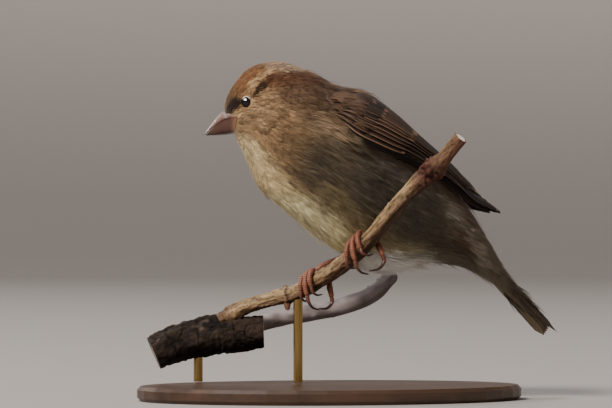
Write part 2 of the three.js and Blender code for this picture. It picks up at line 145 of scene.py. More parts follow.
def object_place(tree):
    return node(tree, "ShaderNodeTexCoord").outputs["Object"]


def bumped(tree, shader, height, strength, distance=0.0001):
    """Lets a height bend the way that the surface faces."""
    bump = node(tree, "ShaderNodeBump", [("Strength", strength), ("Distance", distance), ("Height", height)])
    tree.links.new(bump.outputs["Normal"], shader.inputs["Normal"])


print("white in linear light:", ink(255, 255, 255))

# %% [markdown]
# The model stands in a wide pale bowl: a flat floor whose rim rises into a wall, so that no horizon
# line shows from any side. Soft boxes stand high in front of the bird's face and overhead, so the
# breast is lit and the flank falls into soft shade.

# %% Floor and lights
BOWL_FLOOR, BOWL_RISE, BOWL_STEPS = 2.5, 1.4, 10

bpy.ops.object.select_all(action="DESELECT")
bpy.ops.mesh.primitive_circle_add(vertices=96, radius=BOWL_FLOOR, fill_type="NGON")
bowl = bpy.context.object
bowl.name = "studio_bowl"
bpy.ops.object.mode_set(mode="EDIT")
bpy.ops.mesh.select_all(action="DESELECT")
bpy.ops.mesh.select_mode(type="EDGE")
bpy.ops.mesh.select_all(action="SELECT")
bpy.ops.mesh.region_to_loop()
for step in range(1, BOWL_STEPS + 1):
    turn = [math.pi / 2 * s / BOWL_STEPS for s in (step - 1, step)]
    rise = BOWL_RISE * (math.cos(turn[0]) - math.cos(turn[1]))
    reach = [BOWL_FLOOR + BOWL_RISE * math.sin(t) for t in turn]
    bpy.ops.mesh.extrude_region_move(TRANSFORM_OT_translate={"value": (0, 0, rise)})
    bpy.ops.transform.resize(value=(reach[1] / reach[0], reach[1] / reach[0], 1))
bpy.ops.object.mode_set(mode="OBJECT")
bpy.ops.object.shade_smooth()

bowl_finish, tree, shader = new_finish("bowl_paper", 0.9)
height = node(tree, "ShaderNodeSeparateXYZ", [("Vector", object_place(tree))]).outputs["Z"]
rise = smooth_range(tree, height, 0.0, 0.5)
tint = mix_colour(tree, rise, rgba(ink(160, 154, 150)), rgba(ink(236, 226, 220)))
tree.links.new(tint, shader.inputs["Base Color"])
bowl.data.materials.append(bowl_finish)


def soft_box(name, at, size, power, colour):
    """An area light that looks at the bird."""
    data = bpy.data.lights.new(name, "AREA")
    data.shape, data.size, data.energy, data.color = "DISK", size, power, colour
    box = bpy.data.objects.new(name, data)
    box.location = at
    box.rotation_euler = (Vector((0, 0, 0.07)) - Vector(at)).to_track_quat("-Z", "Y").to_euler()
    bpy.context.scene.collection.objects.link(box)


soft_box("key_light", (-1.7, -1.3, 1.9), 0.7, 95, (1.0, 0.94, 0.86))
soft_box("sky_light", (-0.3, 0.5, 2.3), 1.2, 30, (0.97, 0.98, 1.0))
soft_box("rim_light", (-1.3, 1.9, 0.9), 0.6, 16, (1.0, 0.95, 0.88))
world = bpy.data.worlds.new("studio_air")
world.use_nodes = True
world.node_tree.nodes["Background"].inputs[0].default_value = (0.86, 0.85, 0.84, 1)
world.node_tree.nodes["Background"].inputs[1].default_value = 0.22
bpy.context.scene.world = world
print("bowl faces:", len(bowl.data.polygons))

# %% [markdown]
# The bird's form is a set of sections from the bill to the tail coverts, each with a back point, a
# belly point and a half width, and smooth lines run through them. These are the same sections that
# the solids have, so a feather can be rooted anywhere by naming a station and an angle round it.

# %% Lines through the sections
HEAD_TURN, TURN_PIVOT_X, TURN_FULL_AT, TURN_GONE_AT = math.radians(-12), -8, 4, 7
FLANK_FULLNESS = 0.08
BODY_STATIONS = [
    [-36.2, 98.1, -32.4, 89.9, 4.2],
    [-35.4, 102.2, -31.7, 87.1, 6.3],
    [-33.7, 105.6, -30.7, 85.4, 8.0],
    [-27.3, 112.7, -27.8, 79.3, 10.0],
    [-17.2, 114.9, -24.8, 72.2, 11.4],
    [-11.1, 113.1, -22.0, 69.0, 13.2],
    [-4.9, 110.7, -18.0, 65.8, 15.8],
    [1.7, 107.1, -12.1, 60.7, 18.4],
    [13.9, 103.0, 3.3, 49.8, 20.6],
    [26.3, 92.4, 15.9, 44.6, 18.8],
    [38.1, 78.3, 31.2, 46.4, 13.8],
    [48.9, 63.7, 46.4, 44.7, 9.6],
    [55.4, 53.2, 52.3, 41.9, 7.6],
    [60.7, 44.2, 57.5, 38.8, 6.3],
    [63.7, 40.3, 60.3, 36.8, 5.5],
]
LAST_STATION = len(BODY_STATIONS) - 1


def smooth_line(points):
    """A line through points, in mm, as a function of shares of its length from 0 to 1."""
    p = np.array(points, float)
    p = np.vstack([2 * p[0] - p[1], p, 2 * p[-1] - p[-2]])
    spans = len(p) - 3

    def at(share):
        f = np.clip(np.atleast_1d(np.asarray(share, float)), 0, 1) * spans
        i = np.minimum(f.astype(int), spans - 1)
        u = (f - i)[:, None]
        a, b, c, d = (p[i + k] for k in range(4))
        ab, bc, cd = (np.maximum(np.linalg.norm(m - n, axis=1), 1e-9)[:, None] ** 0.5
                      for m, n in ((a, b), (b, c), (c, d)))
        leave = ((b - a) / ab - (c - a) / (ab + bc) + (c - b) / bc) * bc
        reach = ((c - b) / bc - (d - b) / (bc + cd) + (d - c) / cd) * bc
        return b + u * (leave + u * (3 * (c - b) - 2 * leave - reach + u * (2 * (b - c) + leave + reach)))

    return at


def unit(v):
    return v / np.maximum(np.linalg.norm(v, axis=-1, keepdims=True), 1e-9)


def step_up(value, low, high):
    """0 below low, 1 above high, and a soft step between."""
    t = np.clip((np.asarray(value, float) - low) / (high - low), 0, 1)
    return t * t * (3 - 2 * t)


def number_line(numbers):
    """A smooth run through numbers, as a function of shares of the way from first to last."""
    line = smooth_line([[i, number, 0] for i, number in enumerate(numbers)])
    return lambda share: line(share)[:, 1]


def patchwork(u, v, around, seed, rows=64):
    """Soft random patches from 0 to 1, one to each whole step of u and v. Repeats after u = around."""
    table = np.random.default_rng(seed).random((around, rows))
    i, j = np.floor(u).astype(int), np.floor(v).astype(int)
    across, along = step_up(u - i, 0, 1), step_up(v - j, 0, 1)
    near, far = ((1 - across) * table[i % around, k % rows] + across * table[(i + 1) % around, k % rows]
                 for k in (j, j + 1))
    return near * (1 - along) + far * along


back_line = smooth_line([[s[0], 0, s[1]] for s in BODY_STATIONS])
belly_line = smooth_line([[s[2], 0, s[3]] for s in BODY_STATIONS])
body_width = number_line([s[4] for s in BODY_STATIONS])


def turned(points, station, turn=HEAD_TURN):
    """Turns points of the head and neck about the upright pivot line."""
    turn = turn * step_up(TURN_GONE_AT - np.asarray(station, float), 0, TURN_GONE_AT - TURN_FULL_AT)
    x, y = points[..., 0] - TURN_PIVOT_X, points[..., 1]
    flat = [x * np.cos(turn) - y * np.sin(turn) + TURN_PIVOT_X, x * np.sin(turn) + y * np.cos(turn)]
    return np.stack([*flat, points[..., 2]], axis=-1)


def plain(points, station):
    """Turns points of the head back, as if the bird looked straight ahead."""
    return turned(points, station, -HEAD_TURN)


def plain_body(station, angle, out=1.0):
    """Points on the body before the head turns. The angle runs from the back, right side first."""
    station, angle = np.broadcast_arrays(np.asarray(station, float), np.asarray(angle, float))
    shape = station.shape
    share = station.ravel() / LAST_STATION
    back, belly, width = back_line(share), belly_line(share), body_width(share)
    up = (np.cos(angle) * out).ravel()
    side = (np.sin(angle) * out * (1 + FLANK_FULLNESS * np.cos(angle))).ravel()
    points = (back + belly) / 2 + (back - belly) / 2 * up[:, None]
    points[:, 1] += width * side
    return points.reshape(*shape, 3)


def body_point(station, angle, out=1.0):
    return turned(plain_body(station, angle, out), station)


girths = [np.ptp(plain_body(np.full(60, s), np.linspace(0, 6.28, 60))[:, 1]) for s in (2, 5, 8, 12)]
print("widths of face, neck, breast, rump in mm:", np.round(girths, 1))

# %% [markdown]
# Every feather takes its colour from one set of markings, and so does the skin under it, so a thin
# place in the coat never shows. A marking is a soft ellipse seen from the side, in millimetres, on
# the bird as it looks straight ahead. Both sides of the bird carry the same ones.

# %% Markings of a female house sparrow
GROUND = [  # colour by body station: back, side, belly
    (0.0, (110, 80, 52), (146, 117, 86), (184, 160, 124)),
    (2.5, (134, 98, 62), (152, 123, 90), (176, 152, 114)),
    (4.5, (142, 118, 94), (142, 113, 84), (218, 196, 152)),
    (6.5, (92, 70, 52), (124, 102, 74), (204, 186, 140)),
    (8.5, (86, 66, 50), (104, 92, 72), (186, 174, 130)),
    (10.5, (98, 80, 66), (92, 82, 68), (172, 164, 140)),
    (12.0, (108, 92, 78), (100, 90, 76), (150, 140, 120)),
    (14.0, (110, 98, 86), (96, 84, 72), (128, 116, 98)),
]
MARKINGS = [  # x, z, half length, half height, tilt in degrees, colour, strength
    (-26.5, 110.4, 9.5, 4.6, 38, (122, 82, 50), 0.75),
    (-34.2, 103.6, 2.6, 4.6, -20, (100, 72, 44), 0.75),
    (-13.7, 113.4, 9.0, 3.0, 0, (170, 144, 120), 0.75),
    (-18.8, 100.7, 7.5, 5.0, 0, (158, 128, 94), 0.6),
    (-24.6, 94.9, 6.0, 5.5, 0, (168, 138, 106), 0.6),
    (-23.6, 108.6, 5.6, 1.1, 43, (192, 158, 118), 0.75),
    (-22.4, 106.0, 5.0, 1.1, 40, (44, 28, 20), 1.0),
    (-12.0, 107.4, 11.0, 3.4, -6, (84, 50, 32), 0.9),
    (-15.2, 102.9, 2.0, 2.0, 60, (84, 56, 42), 0.5),
    (-30.0, 104.8, 2.6, 0.8, 10, (86, 58, 40), 0.5),
    (-26.0, 100.2, 1.0, 2.4, 0, (198, 168, 128), 0.6),
    (-31.0, 96.4, 2.2, 1.0, 0, (176, 148, 112), 0.6),
    (-30.0, 90.6, 3.6, 4.0, -50, (152, 124, 90), 0.7),
    (-27.5, 83.0, 5.0, 7.0, 20, (232, 208, 164), 0.8),
    (-18.5, 93.2, 5.4, 0.8, 46, (86, 60, 42), 0.6),
    (-9.0, 102.0, 9.5, 5.0, -10, (86, 65, 49), 0.85),
    (-5.5, 95.0, 5.5, 5.0, 0, (98, 78, 60), 0.8),
    (-9.0, 83.0, 8.0, 11.0, 20, (98, 80, 56), 0.6),
    (-3.0, 89.0, 5.0, 7.5, 20, (164, 138, 110), 0.6),
    (-20.5, 71.5, 7.0, 16.0, 27, (200, 178, 136), 0.75),
    (-6.0, 57.0, 17.0, 8.0, -42, (244, 234, 186), 0.85),
    # the flank: grey-brown, and darker still as painted shade (this line and the next)
    (3.0, 76.0, 16.0, 13.5, -30, (80, 73, 62), 0.8),
    (22.0, 67.0, 19.0, 10.0, -35, (76, 71, 63), 0.8),
    (0.5, 67.0, 9.0, 3.6, -42, (126, 112, 82), 0.7),
    (20.0, 77.0, 11.0, 3.0, -38, (104, 96, 88), 0.7),
    (5.5, 100.5, 9.0, 5.5, -25, (84, 63, 50), 0.85),
    (39.5, 63.5, 6.5, 1.8, -52, (160, 152, 138), 0.5),
    (50.0, 50.5, 7.0, 1.6, -58, (156, 146, 130), 0.5),
    (44.5, 53.5, 6.0, 2.6, -50, (84, 62, 46), 0.6),
    (19.0, 45.6, 21.0, 5.4, -2, (255, 253, 246), 1.0),
    # dark olive at the vent: partly its own colour, partly painted shade under the rear of the body
    (42.0, 48.0, 14.0, 5.0, -35, (60, 54, 44), 0.7),
    (32.0, 47.6, 6.5, 3.0, -15, (210, 206, 196), 0.7),
    (49.0, 60.0, 9.0, 2.6, -50, (112, 90, 80), 0.75),
]
SIDE_MARKINGS = [  # the same, on the sides of the face only
    (-33.0, 99.9, 3.8, 2.7, 38, (40, 28, 22), 1.0),
    (-34.9, 98.4, 2.4, 2.0, 0, (44, 32, 25), 1.0),
]
MANTLE_DARK, MANTLE_BUFF = ink(50, 36, 28), ink(138, 108, 82)
MANTLE_LINES, MANTLE_STRENGTH = 15, 0.75
WANDER = 0.35  # mm by which the edges of markings stray


def markings(place, station, angle):
    """The plumage's linear colour at places on the bird as it looks straight ahead, in mm."""
    wander = np.stack([np.sin(place[:, 2] * 1.3 + place[:, 0] * 0.4), 0 * station,
                       np.sin(place[:, 0] * 1.1 - place[:, 2] * 0.5)], axis=1)
    place = place + WANDER * wander
    knots = [row[0] for row in GROUND]
    back, side, belly = (
        np.stack([np.interp(station, knots, [ink(*row[part])[k] for row in GROUND]) for k in range(3)], 1)
        for part in (1, 2, 3)
    )
    up = np.cos(angle)[:, None]
    colour = side + (back - side) * step_up(up, 0.25, 0.85)
    colour = colour + (belly - colour) * step_up(-up, 0.45, 0.95)
    sides = 1 - step_up(up, 0.55, 0.9)
    spread_out = [(row, 1.0) for row in MARKINGS] + [(row, sides) for row in SIDE_MARKINGS]
    for (x, z, long, high, tilt, paint, strength), place_share in spread_out:
        c, s = math.cos(math.radians(tilt)), math.sin(math.radians(tilt))
        dx, dz = place[:, 0] - x, place[:, 2] - z
        off = np.hypot((dx * c + dz * s) / long, (dz * c - dx * s) / high)
        share = place_share * strength * (1 - step_up(off, 0.65, 1.25))[:, None]
        colour = colour + (ink(*paint) - colour) * share
    mantle = step_up(up[:, 0], 0.7, 0.9) * step_up(station, 5.6, 6.6) * (1 - step_up(station, 9.5, 11))
    from_back = np.minimum(angle, 2 * np.pi - angle)
    line = np.sin(from_back * MANTLE_LINES + 0.5 * np.sin(place[:, 0] * 0.5))
    for paint, share in ((MANTLE_DARK, step_up(line, 0.25, 0.8)), (MANTLE_BUFF, step_up(-line, 0.55, 0.95))):
        colour = colour + (paint - colour) * (MANTLE_STRENGTH * mantle * share)[:, None]
    return colour


print("markings:", len(MARKINGS))

# %% [markdown]
# One skin stands for head, neck, trunk, rump and thighs, so no seam shows between them. It is drawn
# through the body's sections, joined to the two thighs by a voxel remesh, which welds closed forms
# as clay does, and then drawn inwards by the depth of the coat that will grow on it.

# %% Skin
SKIN_VOXEL = 0.7
RINGS, AROUND = 110, 72
COAT_DEPTH = [(0, 0.3), (1, 0.45), (3, 0.7), (5, 1.1), (7, 1.6), (9, 1.8), (11, 1.3), (13, 0.9), (14, 0.6)]
THIGHS = {"left": ([23, -15.5, 70], [17.5, -10.5, 62.5]), "right": ([23.5, 13, 57.5], [10.6, 8.6, 49.9])}
THIGH_RADIUS, THIGH_END = 6.2, 0.25  # a thigh's form ends at this share of its length short of the ankle
THIGH_GRID = (14, 24)
# painted shade: the skin lies in the shade of the feathers over it, so it is painted darker than they are
UNDER_SHADE = 0.85  # the skin is this much darker than the feathers over it


def tube_faces(rings, around):
    """Quads between rings of points, with a fan to the two end points that come last."""
    i, j = np.meshgrid(np.arange(rings - 1), np.arange(around), indexing="ij")
    k = (j + 1) % around
    quads = np.stack([i * around + j, i * around + k, (i + 1) * around + k, (i + 1) * around + j], -1)
    faces = [tuple(q) for q in quads.reshape(-1, 4)]
    first, last, turn = rings * around, rings * around + 1, (rings - 1) * around
    for j in range(around):
        faces += [(first, (j + 1) % around, j), (last, turn + j, turn + (j + 1) % around)]
    return faces


def ring_grid(shares, around):
    """Each share with each angle of a ring, as two arrays of (shares, angles)."""
    return np.meshgrid(shares, np.linspace(0, 2 * np.pi, around, endpoint=False), indexing="ij")


def limb_points(start, end, radius, rings, around):
    """A round limb between two points, of a radius given at each share of its length."""
    start, end = np.array(start, float), np.array(end, float)
    along = unit(end - start)
    side = unit(np.cross([0.3, 1, 0.2], along))
    other = np.cross(along, side)
    t, a = ring_grid(np.linspace(0, 1, rings), around)
    spoke = np.cos(a)[..., None] * side + np.sin(a)[..., None] * other
    points = start + (end - start) * t[..., None] + spoke * radius(t)[..., None]
    return np.vstack([points.reshape(-1, 3), start, end])


def closed_piece(name, parts):
    """One object, in metres, from several closed lists of points and faces."""
    points, faces = [], []
    for more, its_faces in parts:
        shift = len(points)
        points += [tuple(p * MM) for p in more]
        faces += [tuple(shift + i for i in f) for f in its_faces]
    mesh = bpy.data.meshes.new(name)
    mesh.from_pydata(points, [], faces)
    shape = bmesh.new()
    shape.from_mesh(mesh)
    bmesh.ops.recalc_face_normals(shape, faces=shape.faces)
    shape.to_mesh(mesh)
    shape.free()
    made = bpy.data.objects.new(name, mesh)
    bpy.context.scene.collection.objects.link(made)
    return made


def only(piece):
    """Makes a piece the only one selected."""
    bpy.ops.object.select_all(action="DESELECT")
    piece.select_set(True)
    bpy.context.view_layer.objects.active = piece


def shade_soft(piece, degrees=None):
    """Smooth shading, except over edges sharper than the angle if one is given."""
    only(piece)
    if degrees is None:
        bpy.ops.object.shade_smooth()
    else:
        bpy.ops.object.shade_smooth_by_angle(angle=math.radians(degrees))


def apply_modifier(piece, kind, **settings):
    only(piece)
    modifier = piece.modifiers.new(kind.lower(), kind)
    for key, value in settings.items():
        setattr(modifier, key, value)
    bpy.ops.object.modifier_apply(modifier=modifier.name)


def read_all(rows, label):
    """One vector of each row of a mesh's data, as an array."""
    found = np.empty(len(rows) * 3, np.float32)
    rows.foreach_get(label, found)
    return found.reshape(-1, 3)


def points_of(piece):
    """A piece's points and normals, in mm."""
    at, out = read_all(piece.data.vertices, "co"), read_all(piece.data.vertex_normals, "vector")
    return at.astype(float) / MM, out.astype(float)


def move_points(piece, points):
    piece.data.vertices.foreach_set("co", (points * MM).astype(np.float32).ravel())
    piece.data.update()


def search_tree(points):
    """A tree that finds the number of the point nearest to a place, and how far off it is."""
    made = KDTree(len(points))
    for i, p in enumerate(points):
        made.insert(p, i)
    made.balance()
    return made


def thigh_bulge(t):
    return THIGH_RADIUS * np.sqrt(np.maximum(0.05, 1 - ((t - 0.42) / 0.6) ** 2))


stations, angles = ring_grid(np.linspace(0, LAST_STATION, RINGS), AROUND)
form = body_point(stations, angles)
ends = [form[0].mean(axis=0), form[-1].mean(axis=0)]
parts = [(np.vstack([form.reshape(-1, 3), *ends]), tube_faces(RINGS, AROUND))]
for hip, ankle in THIGHS.values():
    hip, ankle = np.array(hip), np.array(ankle)
    end = ankle + THIGH_END * (hip - ankle)
    parts.append((limb_points(hip, end, thigh_bulge, *THIGH_GRID), tube_faces(*THIGH_GRID)))
skin = closed_piece("skin", parts)
apply_modifier(skin, "REMESH", mode="VOXEL", voxel_size=SKIN_VOXEL * MM)
apply_modifier(skin, "SMOOTH", factor=0.5, iterations=4)
chart = search_tree(form.reshape(-1, 3))


def chart_of(points):
    """The body station and angle nearest to each point."""
    found = np.array([chart.find(p)[1] for p in points])
    return stations.ravel()[found], angles.ravel()[found]


def coat_depth(station, angle):
    deep = np.interp(station, [d[0] for d in COAT_DEPTH], [d[1] for d in COAT_DEPTH])
    return deep * (1 - 0.25 * step_up(np.cos(angle), 0.2, 0.9))


def paint(piece, name, colours):
    """Stores a colour at each point of a piece."""
    layer = piece.data.attributes.new(name, "FLOAT_COLOR", "POINT")
    colours = np.hstack([colours, np.ones((len(colours), 1))])
    layer.data.foreach_set("color", colours.astype(np.float32).ravel())


skin_at, skin_out = points_of(skin)
skin_station, skin_angle = chart_of(skin_at)
skin_at = skin_at - skin_out * coat_depth(skin_station, skin_angle)[:, None]
move_points(skin, skin_at)
skin_tint = markings(plain(skin_at, skin_station), skin_station, skin_angle)
# painted shade on the skin under the coat
paint(skin, "Tint", skin_tint * UNDER_SHADE)
shade_soft(skin)
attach(skin, "root")
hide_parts("head", "neck", "trunk", "rump", "thigh_left", "thigh_right")
print("skin points:", len(skin_at))

# %% [markdown]
# Plumage is matt, with a faint sheen where barbs catch the light. One group gives the fine broken
# streaks of barbs, along a vector that the material chooses. The body's feathers read their tint
# from the points of the mesh, because each feather keeps the colour of the place that it covers.

# %% Plumage finish
barbs, into, out = new_group(
    "barb_streaks",
    [("Vector", "NodeSocketVector", None), ("Scale", "NodeSocketFloat", 900.0),
     ("Depth", "NodeSocketFloat", 0.2), ("Colour", "NodeSocketColor", (0.5, 0.5, 0.5, 1))],
    [("Colour", "NodeSocketColor"), ("Height", "NodeSocketFloat")],
)
vector, scale, depth, colour = (into.outputs[label] for label in ("Vector", "Scale", "Depth", "Colour"))
grain = node(barbs, "ShaderNodeTexNoise",
             [("Vector", vector), ("Scale", scale), ("Detail", 3.0), ("Roughness", 0.6)]).outputs["Fac"]
lightness = math_node(barbs, "MULTIPLY_ADD", grain, depth, 1.0)
shifted = math_node(barbs, "SUBTRACT", lightness, math_node(barbs, "MULTIPLY", depth, 0.5))
scaled = node(barbs, "ShaderNodeVectorMath", [(0, colour), ("Scale", shifted)], operation="SCALE")
barbs.links.new(scaled.outputs[0], out.inputs["Colour"])
barbs.links.new(grain, out.inputs["Height"])


def barbed(tree, shader, vector, scale, depth, colour, strength):
    """Gives a finish its colour, broken up by fine streaks that are also raised a little."""
    inputs = [("Vector", vector), ("Scale", scale), ("Depth", depth), ("Colour", colour)]
    streaks = node(tree, "ShaderNodeGroup", inputs, node_tree=barbs)
    tree.links.new(streaks.outputs["Colour"], shader.inputs["Base Color"])
    bumped(tree, shader, streaks.outputs["Height"], strength)


def tinted_finish(name, roughness, scale, depth, strength, **sockets):
    """A finish whose colour is the piece's own Tint, broken up by a fine grain."""
    made, tree, shader = new_finish(name, roughness, **sockets)
    barbed(tree, shader, object_place(tree), scale, depth, own_colour(tree), strength)
    return made


body_plumage = tinted_finish("body_plumage", 0.8, 6000, 0.25, 0.06, Sheen_Weight=0.08, Sheen_Roughness=0.5,
                             Specular_IOR_Level=0.15)
skin.data.materials.append(body_plumage)
print("plumage inputs:", [s.name for s in barbs.interface.items_tree])

# %% [markdown]
# A contour feather of a small bird ends in loose barbs, and what the eye sees is a soft fan of
# points, not a scale. So one feather is a fan of thin leaf-shaped locks, each a closed three-sided
# sliver. The fan is drawn once, in a few variants, and laid along the skin from every root.

# %% One feather as a fan of locks
LOCK_ROWS, LOCK_WIDTHS = (0.3, 0.7), (1.0, 0.75)
# kind of fan: (locks, fullness)
FANS = {"face": (4, 1.15), "head": (6, 1.1), "body": (11, 1.1), "wisp": (3, 0.32), "fluff": (6, 0.3)}
VARIANTS = 4


def lock_fan(locks, fullness):
    """Points as (across, along, up) and triangles of one feather, with a brightness for each point: a random
    tone for each lock, and darker towards the root, partly the feather's own darker base and partly painted
    shade under the next feathers.
    """
    points, faces, tone_and_root_shade = [], [], []
    for j in range(locks):
        centre = (2 * j + 1 - locks) / locks + chance.normal(0, 0.08)
        long = 1 - 0.24 * abs(centre) ** 1.5 + chance.normal(0, 0.1)
        start = 0.04 * chance.random()
        wide = fullness / locks * chance.uniform(0.8, 1.25)
        lock_tone = chance.normal(1, 0.06)
        lift = chance.normal(0, 0.03)
        shift = len(points)
        # darker at the root and lighter at the tip: partly the feather's own darker base, partly painted
        # shade where the next feathers lie over the root
        points.append((centre * 0.2, start, 0.0))
        tone_and_root_shade.append(0.92 * lock_tone)
        for v, share in zip(LOCK_ROWS, LOCK_WIDTHS):
            middle = centre * (0.25 + 0.75 * v**0.9)
            along = start + v * (long - start)
            half = wide * share
            points += [(middle - half, along, lift - 0.02), (middle + half, along, lift - 0.02),
                       (middle, along, lift + 0.02 * share)]
            tone_and_root_shade += [lock_tone * (0.94 + 0.08 * v)] * 3
        points.append((centre, long, lift - 0.02))
        tone_and_root_shade.append(lock_tone * 1.05)
        for a in range(3):
            b = (a + 1) % 3
            here, there = shift + 1, shift + 4
            faces.append((shift, here + a, here + b))
            faces += [(here + a, there + a, there + b), (here + a, there + b, here + b)]
            faces.append((there + a, shift + 7, there + b))
    return np.array(points), np.array(faces), np.array(tone_and_root_shade)


fans = {kind: [lock_fan(*shape) for _ in range(VARIANTS)] for kind, shape in FANS.items()}
print("triangles in one feather:", {kind: len(made[0][1]) for kind, made in fans.items()})

# %% [markdown]
# Roots are scattered over the skin by throwing darts: a dart is kept only where no kept one is too
# near. Each part of the body has its own spacing, length and spread, smallest on the face. From its
# root a feather follows the skin tailwards in three steps, and its tip rises to the coat's depth.

# %% Where feathers are rooted
COAT_PARTS = [  # name, from station, to station, spacing, length, spread, kind of fan, share of the depth
    ("coat_face", 0.0, 2.2, 0.62, 2.4, 1.0, "face", 1.0),
    ("coat_head", 2.2, 4.6, 0.95, 4.0, 1.6, "head", 1.0),
    ("coat_neck", 4.6, 6.4, 1.4, 6.4, 2.6, "body", 1.0),
    ("coat_breast", 6.4, 8.6, 1.8, 8.8, 3.2, "body", 1.0),
    ("coat_belly", 8.6, 11.0, 2.0, 9.6, 3.6, "body", 1.0),
    ("coat_rump", 11.0, 14.0, 1.7, 8.0, 3.0, "body", 1.0),
    ("coat_lores", 0.0, 3.2, 0.44, 1.9, 0.8, "face", 0.8),
    ("wisps_head", 2.0, 5.0, 0.9, 3.6, 1.4, "wisp", 1.1),
    ("wisps_front", 5.0, 8.6, 1.15, 6.4, 2.2, "wisp", 1.15),
    ("wisps_rear", 8.6, 14.0, 1.2, 7.4, 2.4, "wisp", 1.15),
    ("fluff_belly", 8.2, 11.2, 0.9, 8.5, 4.4, "fluff", 2.5),
    ("coat_shoulders", 4.8, 9.2, 1.05, 13.0, 3.4, "body", 1.0),
]
DARTS = 90000

skin_polygons = [tuple(f.vertices) for f in skin.data.polygons]
skin_tree = BVHTree.FromPolygons([tuple(p) for p in skin_at], skin_polygons)
skin_faces = np.array([f for f in skin_polygons if len(f) == 4])
corner = skin_at[skin_faces]
areas = np.linalg.norm(np.cross(corner[:, 2] - corner[:, 0], corner[:, 3] - corner[:, 1]), axis=1) / 2
hit = chance.choice(len(skin_faces), size=DARTS, p=areas / areas.sum())
across, along = chance.random((2, DARTS, 1))
low = corner[hit, 0] + (corner[hit, 1] - corner[hit, 0]) * across
high = corner[hit, 3] + (corner[hit, 2] - corner[hit, 3]) * across
darts = low + (high - low) * along
dart_station, dart_angle = chart_of(darts)


def thinned(points, spacing):
    """The numbers of the darts kept, none nearer to another than the spacing."""
    kept, cells = [], {}
    for number, p in enumerate(points):
        cell = tuple((p // spacing).astype(int))
        near = (cells.get((cell[0] + i, cell[1] + j, cell[2] + k), ())
                for i in (-1, 0, 1) for j in (-1, 0, 1) for k in (-1, 0, 1))
        if all(np.dot(p - points[n], p - points[n]) >= spacing**2 for group in near for n in group):
            kept.append(number)
            cells.setdefault(cell, []).append(number)
    return np.array(kept)


def lay_of(station, angle):
    """The way that feathers lie: tailwards along the body at the same angle round it."""
    behind = np.minimum(station + 0.05, LAST_STATION)
    return unit(body_point(behind, angle) - body_point(station - 0.05, angle))


def spines(roots, lay, length):
    """Four points along each feather on the skin, with the skin's normal at each."""
    at, out = [], []
    for p, way, far in zip(roots, lay, length):
        here, normal, _, _ = skin_tree.find_nearest(Vector(p))
        line, normals = [here], [normal]
        way = Vector(way)
        for _ in range(3):
            way = (way - normal * way.dot(normal)).normalized()
            there, normal, _, _ = skin_tree.find_nearest(line[-1] + way * (far / 3))
            way = there - line[-1]
            line.append(there)
            normals.append(normal)
        at.append([tuple(p) for p in line])
        out.append([tuple(n) for n in normals])
    return np.array(at), np.array(out)


def through_four(v):
    """Shares of four evenly spaced points that give a smooth line through them at v."""
    v = np.asarray(v, float) * 3
    return np.stack([-(v - 1) * (v - 2) * (v - 3) / 6, v * (v - 2) * (v - 3) / 2,
                     -v * (v - 1) * (v - 3) / 2, v * (v - 1) * (v - 2) / 6], axis=1)


def grow(points, at, out, spread, depth, root_depth=0.3):
    """Lays one fan along many spines: points and the skin's normals there, (feathers, points, 3)."""
    shares = through_four(points[:, 1])
    spine = np.einsum("vk,fkc->fvc", shares, at)
    normal = unit(np.einsum("vk,fkc->fvc", shares, out))
    tangent = unit(np.einsum("vk,fkc->fvc", through_four(np.minimum(points[:, 1] + 0.1, 1.1)), at)
                   - np.einsum("vk,fkc->fvc", through_four(points[:, 1] - 0.1), at))
    sideways = unit(np.cross(tangent, normal))
    rise = -root_depth + (depth + root_depth)[:, None] * (points[:, 1] ** 0.45)[None, :] + points[:, 2]
    places = spine + sideways * (points[:, 0] * spread[:, None] / 2)[..., None] + normal * rise[..., None]
    return places, normal + sideways * (0.25 * points[:, 0])[..., None]


EYE_AT, EYE_RADIUS = (-28.3, 7.3, 100.7), 2.2
eye_centres = {name: turned(np.array([EYE_AT[0], EYE_AT[1] * side, EYE_AT[2]]), 0.0)
               for name, side in SIDES.items()}


def eye_gap(points):
    """How far points are from the middle of the nearer eye."""
    return np.min([np.linalg.norm(points - c, axis=1) for c in eye_centres.values()], axis=0)


print("eyes at, in mm:", {name: np.round(p, 1).tolist() for name, p in eye_centres.items()})

# %% [markdown]
# The bill is a strong seed-cracker's cone. Its horn runs back along the cheek to the corner of the
# mouth, over the skin, where the feathers end. Each mandible is drawn as sections from that corner to
# the tip: a ridge line, a cutting edge and a half width, on the bird as it looks straight ahead.
# Where a section would sink into the cheek, it is laid a quarter of a millimetre over it instead.

# %% Bill
BILL_ROWS, BILL_ARC = 26, 8
UPPER = {  # share of the length from the corner of the mouth: ridge x, z and edge x, z
    "ridge": [(0, -31.6, 96.3), (0.22, -34.2, 97.1), (0.42, -36.6, 97.7), (0.6, -38.6, 95.7),
              (0.8, -40.9, 92.7), (0.93, -42.4, 90.5), (1, -43.0, 89.6)],
    "edge": [(0, -31.5, 95.6), (0.22, -33.8, 95.5), (0.42, -36.3, 94.8), (0.6, -38.6, 93.2),
             (0.8, -40.9, 91.3), (0.93, -42.2, 90.1), (1, -42.8, 89.6)],
    "width": [(0, 6.6), (0.22, 5.4), (0.42, 4.3), (0.6, 3.2), (0.8, 1.8), (0.93, 0.75), (1, 0.15)],
}
LOWER = {
    "ridge": [(0, -32.7, 90.1), (0.42, -35.6, 89.8), (0.7, -38.9, 89.6), (0.93, -41.6, 89.6),
              (1, -42.3, 89.6)],
    "edge": [(0, -31.5, 95.4), (0.22, -33.8, 95.3), (0.42, -36.3, 94.6), (0.6, -38.6, 93.0),
             (0.8, -40.7, 91.1), (0.93, -41.9, 89.95), (1, -42.3, 89.7)],
    "width": [(0, 6.4), (0.22, 5.2), (0.42, 4.1), (0.6, 3.0), (0.8, 1.6), (0.93, 0.6), (1, 0.12)],
}
HORN_PROUD = 0.28
